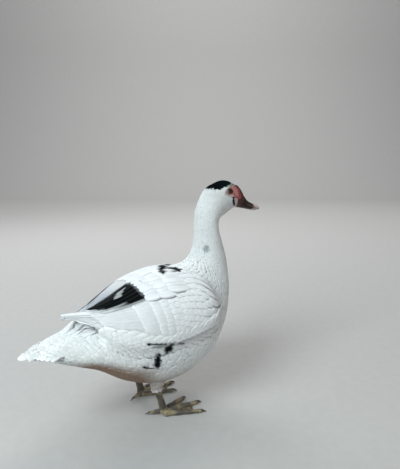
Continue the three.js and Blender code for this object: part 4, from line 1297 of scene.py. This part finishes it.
def bill_tint(l, y, h, upper):
    """Dark at the root, pinkish white over the front third, with a flesh-coloured nail and a painted highlight by the
    nostrils.
    """
    p = np.stack([l, y, h], -1)
    dark = np.array([0.018, 0.011, 0.007])
    root = np.array([0.055, 0.015, 0.012])
    tip = np.array([0.50, 0.41, 0.395])
    wob = (value_noise(p, 5, 41) - 0.5) * 9
    k = smooth(l + wob * 0.6 + (0 if upper else 1), 41, 47)
    col = root + (dark - root) * smooth(l, 14, 21)[..., None]
    col = col + (tip - col) * k[..., None]
    if upper:
        # painted highlight: a pale fleck on top by the nostrils
        painted_highlight = np.exp(-((l - 29) / 3.4) ** 2 - ((h - 9.5) / 3.0) ** 2) * smooth(value_noise(p, 2.6, 43), 0.25, 0.6)
        col = col + (np.array([0.52, 0.40, 0.40]) - col) * (0.55 * painted_highlight)[..., None]
        nail = smooth(1 - np.hypot((l - 64) / 8.0, y / 5.0), 0, 0.2)
        col = col + (np.array([0.50, 0.34, 0.29]) - col) * (0.75 * nail)[..., None]
        edge = smooth(2.4 - h, 0, 1.6) * smooth(l, 20, 30) * (1 - smooth(l, 52, 60))
        col = col + (np.array([0.30, 0.17, 0.17]) - col) * (0.45 * edge)[..., None]
    return col


def bill_half(name, table, sign, start, upper):
    knots = table[:, 0]
    end = knots[-1]
    nl, na = 150, 96
    ls = start + (end - start) * (1 - (1 - np.linspace(0, 1, nl)) ** 1.5)
    an = np.linspace(-np.pi, np.pi, na, endpoint=False)
    L, A = np.meshgrid(ls, an, indexing="ij")
    q = row(table, knots, np.maximum(L, knots[0]))
    w, h = q[..., 1], q[..., 2]
    tipf = np.sqrt(np.clip(1 - np.clip((L - (end - 7)) / 7.02, 0, 1) ** 2, 0, 1))
    c, s = np.cos(A), np.sin(A)
    y = w * tipf * np.sign(s) * np.abs(s) ** 0.85
    up = np.clip(c, 0, None) ** 0.9 * h * (0.45 + 0.55 * tipf)
    if upper:
        # rim along the mouth, small ridges of the comb, nail, nostrils and knob at the root
        side = smooth(np.abs(s), 0.80, 1.0) * (c > -0.2)
        comb = 0.16 * np.sin(L * 2 * np.pi / 1.5) * smooth(np.abs(s), 0.9, 1.0) * smooth(L, 24, 30) * (1 - smooth(L, 54, 60))
        up = up + 0.35 * side
        y = y * (1 + 0.03 * side) + np.sign(s) * comb
        nail = smooth(1 - np.hypot((L - 63.5) / 8.5, y / 5.2), 0, 0.22) * (c > 0)
        up = up + 0.75 * nail
        nost = np.exp(-((L - 27.5) / 3.1) ** 2 - ((np.abs(y) - 6.0) / 1.25) ** 2) * (c > 0)
        rim = np.exp(-(np.abs(np.hypot((L - 27.5) / 3.4, (np.abs(y) - 6.0) / 1.7) - 1.25) / 0.3) ** 2) * (c > 0)
        up = up - 3.4 * nost + 0.35 * rim
        p3 = np.stack([L, y, up], -1)
        d1, d2, who = cells(p3, 2.6, 61)
        knob = np.sqrt(np.clip(1 - (d1 / 0.75) ** 2, 0, 1)) * (0.4 + 0.6 * who)
        grow = (1 - smooth(L, 15, 25)) * (c > 0.05)
        up = up + 1.5 * knob * grow
        up = up + 0.12 * (value_noise(p3, 1.3, 66) - 0.5)
    else:
        up = up + 0.10 * (value_noise(np.stack([L, y, up], -1), 1.4, 67) - 0.5)
    P = bill_point(L, y, sign * (0.18 + up))
    col = bill_tint(L, y, up, upper)
    if upper:
        # nostrils painted dark: painted shade in their hollows
        col = col * (1 - 0.92 * np.clip(nost * 1.3, 0, 1))[..., None]
        # painted shade between the knobs at the root
        d1c = smooth(d2 - d1, 0, 0.2)
        col = col * (1 - grow[..., None] * (1 - d1c[..., None]) * 0.4)
    quads = grid_loops(nl, na, True)
    if sign < 0:
        quads = quads[:, ::-1]
    e0 = np.arange(na)
    caps = [e0[::-1] if sign > 0 else e0, (nl - 1) * na + (e0 if sign > 0 else e0[::-1])]
    loops = np.concatenate([quads.ravel(), *caps])
    sizes = np.concatenate([np.full(len(quads), 4), [na, na]])
    uv = np.stack([0.05 + 0.9 * (L - start) / (end - start), 0.5 + 0.46 * A / np.pi], -1).reshape(-1, 2)
    return mesh_object(name, P.reshape(-1, 3), loops, np.concatenate([[0], np.cumsum(sizes)[:-1]]), col.reshape(-1, 3), {"OFBake": uv}, None, (M_BILL,))


# ---------------------------------------------------------------- legs
FOOT_X, LEG_Y = 55.0, 38.0
CA, SA = math.cos(4 * DEG), math.sin(4 * DEG)
TOES = [("inner", 2, 5, 47, 24, 5, 3.2), ("middle", 3, 0, 61, 1, 5.4, 3.4), ("outer", 2, -5, 53, -25, 5, 3.2)]


def plan(side, x, inward, z):
    x, inward, z = np.broadcast_arrays(np.asarray(x, float), np.asarray(inward, float), np.asarray(z, float))
    return np.stack([FOOT_X + x * CA + inward * SA, side * LEG_Y + side * (x * SA - inward * CA), z], -1)


def loft_piece(P, col, name, mats, uv=None, flip=False):
    """A closed loft from rings (n, m, 3)."""
    n, m = P.shape[:2]
    quads = grid_loops(n, m, True)
    caps = [np.arange(m)[::-1], (n - 1) * m + np.arange(m)]
    if flip:
        quads = quads[:, ::-1]
        caps = [c[::-1] for c in caps]
    loops = np.concatenate([quads.ravel(), *caps])
    sizes = np.concatenate([np.full(len(quads), 4), [m, m]])
    return P.reshape(-1, 3), loops, sizes, col.reshape(-1, 3)


def join(name, parts, mats):
    base, V, Lp, S, C = 0, [], [], [], []
    for v, l, s, c in parts:
        V.append(v), Lp.append(l + base), S.append(s), C.append(c)
        base += len(v)
    V, S = np.concatenate(V), np.concatenate(S)
    lo, hi = V.min(0), V.max(0)
    uv = 0.05 + 0.9 * (V[:, :2] - lo[:2]) / (hi[:2] - lo[:2])
    uv[:, 1] = uv[:, 1] * 0.5 + 0.48 * ((V[:, 2] - lo[2]) / (hi[2] - lo[2]) > 0.5)
    return mesh_object(name, V, np.concatenate(Lp), np.concatenate([[0], np.cumsum(S)[:-1]]), np.concatenate(C), {"OFBake": uv}, None, mats)


LEG_A, LEG_B = np.array([0.30, 0.255, 0.16]), np.array([0.115, 0.10, 0.085])


def leg_tint(P, seed=71):
    k = smooth(value_noise(P, 9, seed), 0.35, 0.68)
    col = LEG_A + (LEG_B - LEG_A) * k[..., None]
    return col * (0.85 + 0.3 * value_noise(P, 2.2, seed + 1))[..., None]


def rod_rings(a, b, r0, r1, along, around, waist=0.0, scute=0.0, pitch=2.6, lo=0.0, squash=1.0, knuckles=0):
    a, b = np.asarray(a, float), np.asarray(b, float)
    d = b - a
    ln = np.linalg.norm(d)
    d = d / ln
    sidev = np.cross(d, [0, 0, 1.0]) if abs(d[2]) < 0.9 else np.array([0, 1.0, 0])
    sidev /= np.linalg.norm(sidev)
    upv = np.cross(sidev, d)
    l = np.linspace(-r0 * 0.995, ln + r1 * 0.995, along)
    ang = np.linspace(0, 2 * np.pi, around, endpoint=False)
    lg, ag = np.meshgrid(l, ang, indexing="ij")
    k = np.clip(lg / ln, 0, 1)
    r = r0 + (r1 - r0) * k - waist * np.sin(np.pi * k)
    if knuckles:
        r = r * (1 + 0.09 * np.cos(2 * np.pi * k * knuckles))
    r = r * np.sqrt(np.clip(1 - np.clip(-lg / r0, 0, 1) ** 2, 0.01, 1)) * np.sqrt(np.clip(1 - np.clip((lg - ln) / r1, 0, 1) ** 2, 0.01, 1))
    front = smooth(np.sin(ag), 0.0, 0.8) if scute else 0
    saw = (lg / pitch) % 1.0
    r = r + (scute * front * (np.sqrt(np.clip(1 - (2 * saw - 1) ** 2, 0, 1)) - 0.6) if scute else 0)
    P = a + lg[..., None] * d + (r * np.cos(ag))[..., None] * sidev + (r * np.sin(ag) * squash)[..., None] * upv
    return P


def leg_pieces(side):
    label = "right" if side < 0 else "left"
    y0 = side * LEG_Y
    out = {}
    # shank, with broad plates down its front
    a, b = np.array([42.0, y0, 55.0]), np.array([FOOT_X, y0, 9.0])
    d = (b - a) / np.linalg.norm(b - a)
    fr = np.array([1.0, 0, 0]) - d[0] * d
    fr /= np.linalg.norm(fr)
    sd = np.cross(d, fr)
    ln = np.linalg.norm(b - a)
    l = np.linspace(-6, ln + 1.0, 150)
    ang = np.linspace(0, 2 * np.pi, 56, endpoint=False)
    lg, ag = np.meshgrid(l, ang, indexing="ij")
    k = np.clip(lg / ln, 0, 1)
    r = 6.3 + 0.2 * k - 1.2 * np.sin(np.pi * k)
    r = r * np.sqrt(np.clip(1 - np.clip(-lg / 6.4, 0, 1) ** 2, 0.06, 1))
    front = smooth(np.cos(ag), -0.1, 0.75)
    saw = (lg / 3.1 + 0.12 * np.cos(ag)) % 1.0
    plate = np.sqrt(np.clip(1 - (2 * saw - 1) ** 2, 0, 1))
    net1, net2, _ = cells(np.stack([lg, 6 * np.cos(ag), 6 * np.sin(ag)], -1), 2.0, 5)
    net = smooth(net2 - net1, 0, 0.35)
    r = r + 0.42 * front * (plate - 0.5) + 0.28 * (1 - front) * (net - 0.5)
    P = a + lg[..., None] * d + (r * np.cos(ag))[..., None] * fr + (r * np.sin(ag) * 0.92)[..., None] * sd
    # darker in the grooves between the plates and in the net: painted shade
    col = leg_tint(P) * (0.62 + 0.38 * np.where(front > 0.5, plate, net))[..., None]
    out[f"shank_skin_{label}"] = join(f"shank_skin_{label}", [loft_piece(P, col, "", None)], (M_SCALE,))
    # foot: knuckle, toes with plates, hind toe, webs
    parts = []
    P = rod_rings(plan(side, -1, 0, 8), plan(side, 4, 0, 5.4), 6.5, 5.6, 40, 40)
    P[..., 2] = np.clip(P[..., 2], 0.02, 14.3)
    parts.append(loft_piece(P, leg_tint(P), "", None))
    for _, x0, i0, x1, i1, r0, r1 in TOES:
        P = rod_rings(plan(side, x0, i0, r0 - 0.5), plan(side, x1, i1, r1 - 0.5), r0, r1, 130, 30, scute=0.5, pitch=2.5, knuckles=3)
        P[..., 2] = np.clip(P[..., 2], 0.02, None)
        parts.append(loft_piece(P, leg_tint(P), "", None))
    P = rod_rings(plan(side, -2, 2, 7), plan(side, -19, 8, 5.5), 3.6, 2.4, 60, 24, scute=0.3, pitch=2.0)
    P[..., 2] = np.clip(P[..., 2], 0.02, None)
    parts.append(loft_piece(P, leg_tint(P), "", None))
    for k in range(2):
        _, xa, ia, xb, ib, _, _ = TOES[k]
        _, xc, ic, xd, id_, _, _ = TOES[k + 1]
        u = np.linspace(0, 1, 50)
        v = np.linspace(0, 1, 40)
        ug, vg = np.meshgrid(u, v, indexing="ij")
        t = ug * (0.94 - 0.16 * np.sin(np.pi * vg))
        px = xa + (xb - xa) * t + ((xc + (xd - xc) * t) - (xa + (xb - xa) * t)) * vg
        pi = ia + (ib - ia) * t + ((ic + (id_ - ic) * t) - (ia + (ib - ia) * t)) * vg
        n1, n2, _ = cells(np.stack([px, pi, 0 * px], -1), 2.4, 8)
        pleat = 0.22 * np.cos(vg * 2 * np.pi * 4) * np.sin(np.pi * ug * 0.9)
        top = 1.9 + 1.6 * (1 - ug) + 0.28 * smooth(n2 - n1, 0, 0.3) + pleat
        A = plan(side, px, pi, top)
        B = plan(side, px, pi, 0.02 + 0 * top)
        ring = np.concatenate([A, B[:, ::-1]], 1)
        col = leg_tint(ring, 75)
        parts.append(loft_piece(ring, col, "", None, flip=(side > 0)))
    out[f"foot_skin_{label}"] = join(f"foot_skin_{label}", parts, (M_SCALE,))
    # claws
    cl = []
    spots = [("hind", -19, 8, 5.5, -17, 6, 1.9)]
    for nm, x0, i0, x1, i1, _, r1 in TOES:
        spots.append((nm, x1 + 0.5, i1, r1 + 0.1, x1 - x0, i1 - i0, r1 * 0.78))
    for nm, x, i, z, dx, di, r in spots:
        n = math.hypot(dx, di)
        ux, ui = dx / n, di / n
        t = np.linspace(0, 1, 34)
        ang = np.linspace(0, 2 * np.pi, 24, endpoint=False)
        tg, ag = np.meshgrid(t, ang, indexing="ij")
        l = -2.5 + 12.5 * tg
        w = r * np.maximum(0.10, np.sqrt(np.clip(1 - 0.985 * tg ** 1.6, 0, 1)))
        across = w * 0.8 * np.sin(ag) * (1 - 0.25 * np.cos(ag))
        bend = 3.2 * np.clip(l / 10, 0, None) ** 2
        P = plan(side, x + ux * l - ui * across, i + ui * l + ux * across, np.maximum(0.45, z + 0.8 - bend + w * np.cos(ag)))
        col = np.array([0.055, 0.045, 0.04]) + (np.array([0.16, 0.13, 0.10]) - np.array([0.055, 0.045, 0.04])) * smooth(tg, 0.55, 1.0)[..., None]
        ob = join(f"nail_{nm}_{label}", [loft_piece(P, col, "", None, flip=(side > 0))], (M_CLAW,))
        cl.append((ob, f"claw_{nm}_{label}"))
    return out, cl


# ---------------------------------------------------------------- put it together
def finish_piece(ob, slot, *nodes):
    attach(ob, "root")
    if nodes:
        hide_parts(*nodes)


skin = make_skin()
finish_piece(skin, "plumage", "trunk", "neck", "head", "thigh_left", "thigh_right")
for ob in coat().values():
    finish_piece(ob, "plumage")
finish_piece(crest(), "plumage")
finish_piece(vent_feathers(), "plumage")
for side in (1, -1):
    label = "left" if side > 0 else "right"
    made = wing_feathers(side)
    for key, ob in made.items():
        finish_piece(ob, "flight_feathers", *([f"wing_{label}"] if key.startswith("wing_sheet") else []))
    finish_piece(thigh_coat(side), "plumage")
    finish_piece(flank_feathers(side), "plumage")
    finish_piece(eye_ball(label), "eye", f"eye_{label}")
    finish_piece(lids(label), "plumage")
    legs, claws = leg_pieces(side)
    finish_piece(legs[f"shank_skin_{label}"], "scaly_skin", f"shank_{label}")
    finish_piece(legs[f"foot_skin_{label}"], "scaly_skin", f"foot_{label}")
    for ob, nodename in claws:
        finish_piece(ob, "claw", nodename)
for i, (key, ob) in enumerate(tail_feathers().items()):
    finish_piece(ob, "flight_feathers", *(["tail"] if i == 0 else []))
finish_piece(bill_half("bill_top", UPPER, 1, -12, True), "bill", "bill_upper")
finish_piece(bill_half("bill_under", LOWER, -1, -10, False), "bill", "bill_lower")


# ---------------------------------------------------------------- floor, light, camera
def stage():
    """Pale floor that sweeps up into a backdrop far behind the bird."""
    psi_ = 35 * DEG
    ahead, across = np.array([math.sin(psi_), math.cos(psi_)]), np.array([math.cos(psi_), -math.sin(psi_)])
    flat = np.linspace(-3.0, 3.4, 40)
    bend = np.linspace(0, 0.5 * np.pi, 30)[1:]
    R = 1.6
    fw = np.concatenate([flat, 3.4 + R * np.sin(bend), np.full(12, 3.4 + R)])
    zz = np.concatenate([0 * flat, R * (1 - np.cos(bend)), R + np.linspace(0, 3.5, 13)[1:]])
    x = np.linspace(-6, 6, 50)
    fg, xg = np.meshgrid(np.arange(len(fw)), x, indexing="ij")
    verts = np.stack([fw[fg] * ahead[0] + xg * across[0], fw[fg] * ahead[1] + xg * across[1], zz[fg]], -1).reshape(-1, 3)
    quads = grid_loops(len(fw), 50, False)
    me = bpy.data.meshes.new("studio_floor")
    me.from_pydata([tuple(v) for v in verts], [], [tuple(int(i) for i in q) for q in quads])
    me.update()
    me.polygons.foreach_set("use_smooth", np.ones(len(quads), bool))
    ob = bpy.data.objects.new("studio_floor", me)
    bpy.context.scene.collection.objects.link(ob)
    m, nt, b = nodes_of("studio_paper")
    n = noise(nt, 60, 3)
    nt.links.new(ramp(nt, n, [(0.3, (0.415, 0.41, 0.40)), (0.7, (0.435, 0.43, 0.42))]), b.inputs["Base Color"])
    b.inputs["Roughness"].default_value = 0.9
    b.inputs["Specular IOR Level"].default_value = 0.1
    me.materials.append(m)


stage()


def area(name, loc, target, size, power, colour):
    li = bpy.data.lights.new(name, "AREA")
    li.shape = "DISK"
    li.size = size
    li.energy = power
    li.color = colour
    ob = bpy.data.objects.new(name, li)
    bpy.context.scene.collection.objects.link(ob)
    ob.location = loc
    ob.rotation_euler = (Vector(target) - Vector(loc)).to_track_quat("-Z", "Y").to_euler()
    return ob


area("key", (-1.68, -0.64, 1.45), (0.0, 0.0, 0.2), 1.2, 55, (0.87, 0.98, 1.0))
area("fill", (0.9, -1.9, 1.0), (0.05, 0.0, 0.2), 1.4, 7, (1.0, 0.95, 0.87))
area("rim", (0.2, 1.7, 1.5), (0.05, 0.0, 0.2), 1.0, 12, (0.97, 0.98, 1.0))
area("backdrop", (1.2, 1.4, 3.2), (2.4, 3.6, 0.4), 2.4, 105, (1.0, 1.0, 1.0))

world = bpy.data.worlds.new("studio")
bpy.context.scene.world = world
world.use_nodes = True
bg = world.node_tree.nodes["Background"]
bg.inputs[0].default_value = (0.60, 0.62, 0.65, 1)
bg.inputs[1].default_value = 0.5

cam = bpy.data.cameras.new("camera")
cam.lens = 36
cam.sensor_width = 36
cam.sensor_fit = "AUTO"
cam.clip_start = 0.01
co = bpy.data.objects.new("camera", cam)
bpy.context.scene.collection.objects.link(co)
psi, pitch = 35 * DEG, 10 * DEG
co.location = (-0.36646, -0.640, 0.417)
look = Vector((math.sin(psi) * math.cos(pitch), math.cos(psi) * math.cos(pitch), -math.sin(pitch)))
co.rotation_euler = look.to_track_quat("-Z", "Y").to_euler()
bpy.context.scene.camera = co
bpy.context.scene.view_settings.view_transform = "Standard"
bpy.context.scene.view_settings.exposure = 0.0
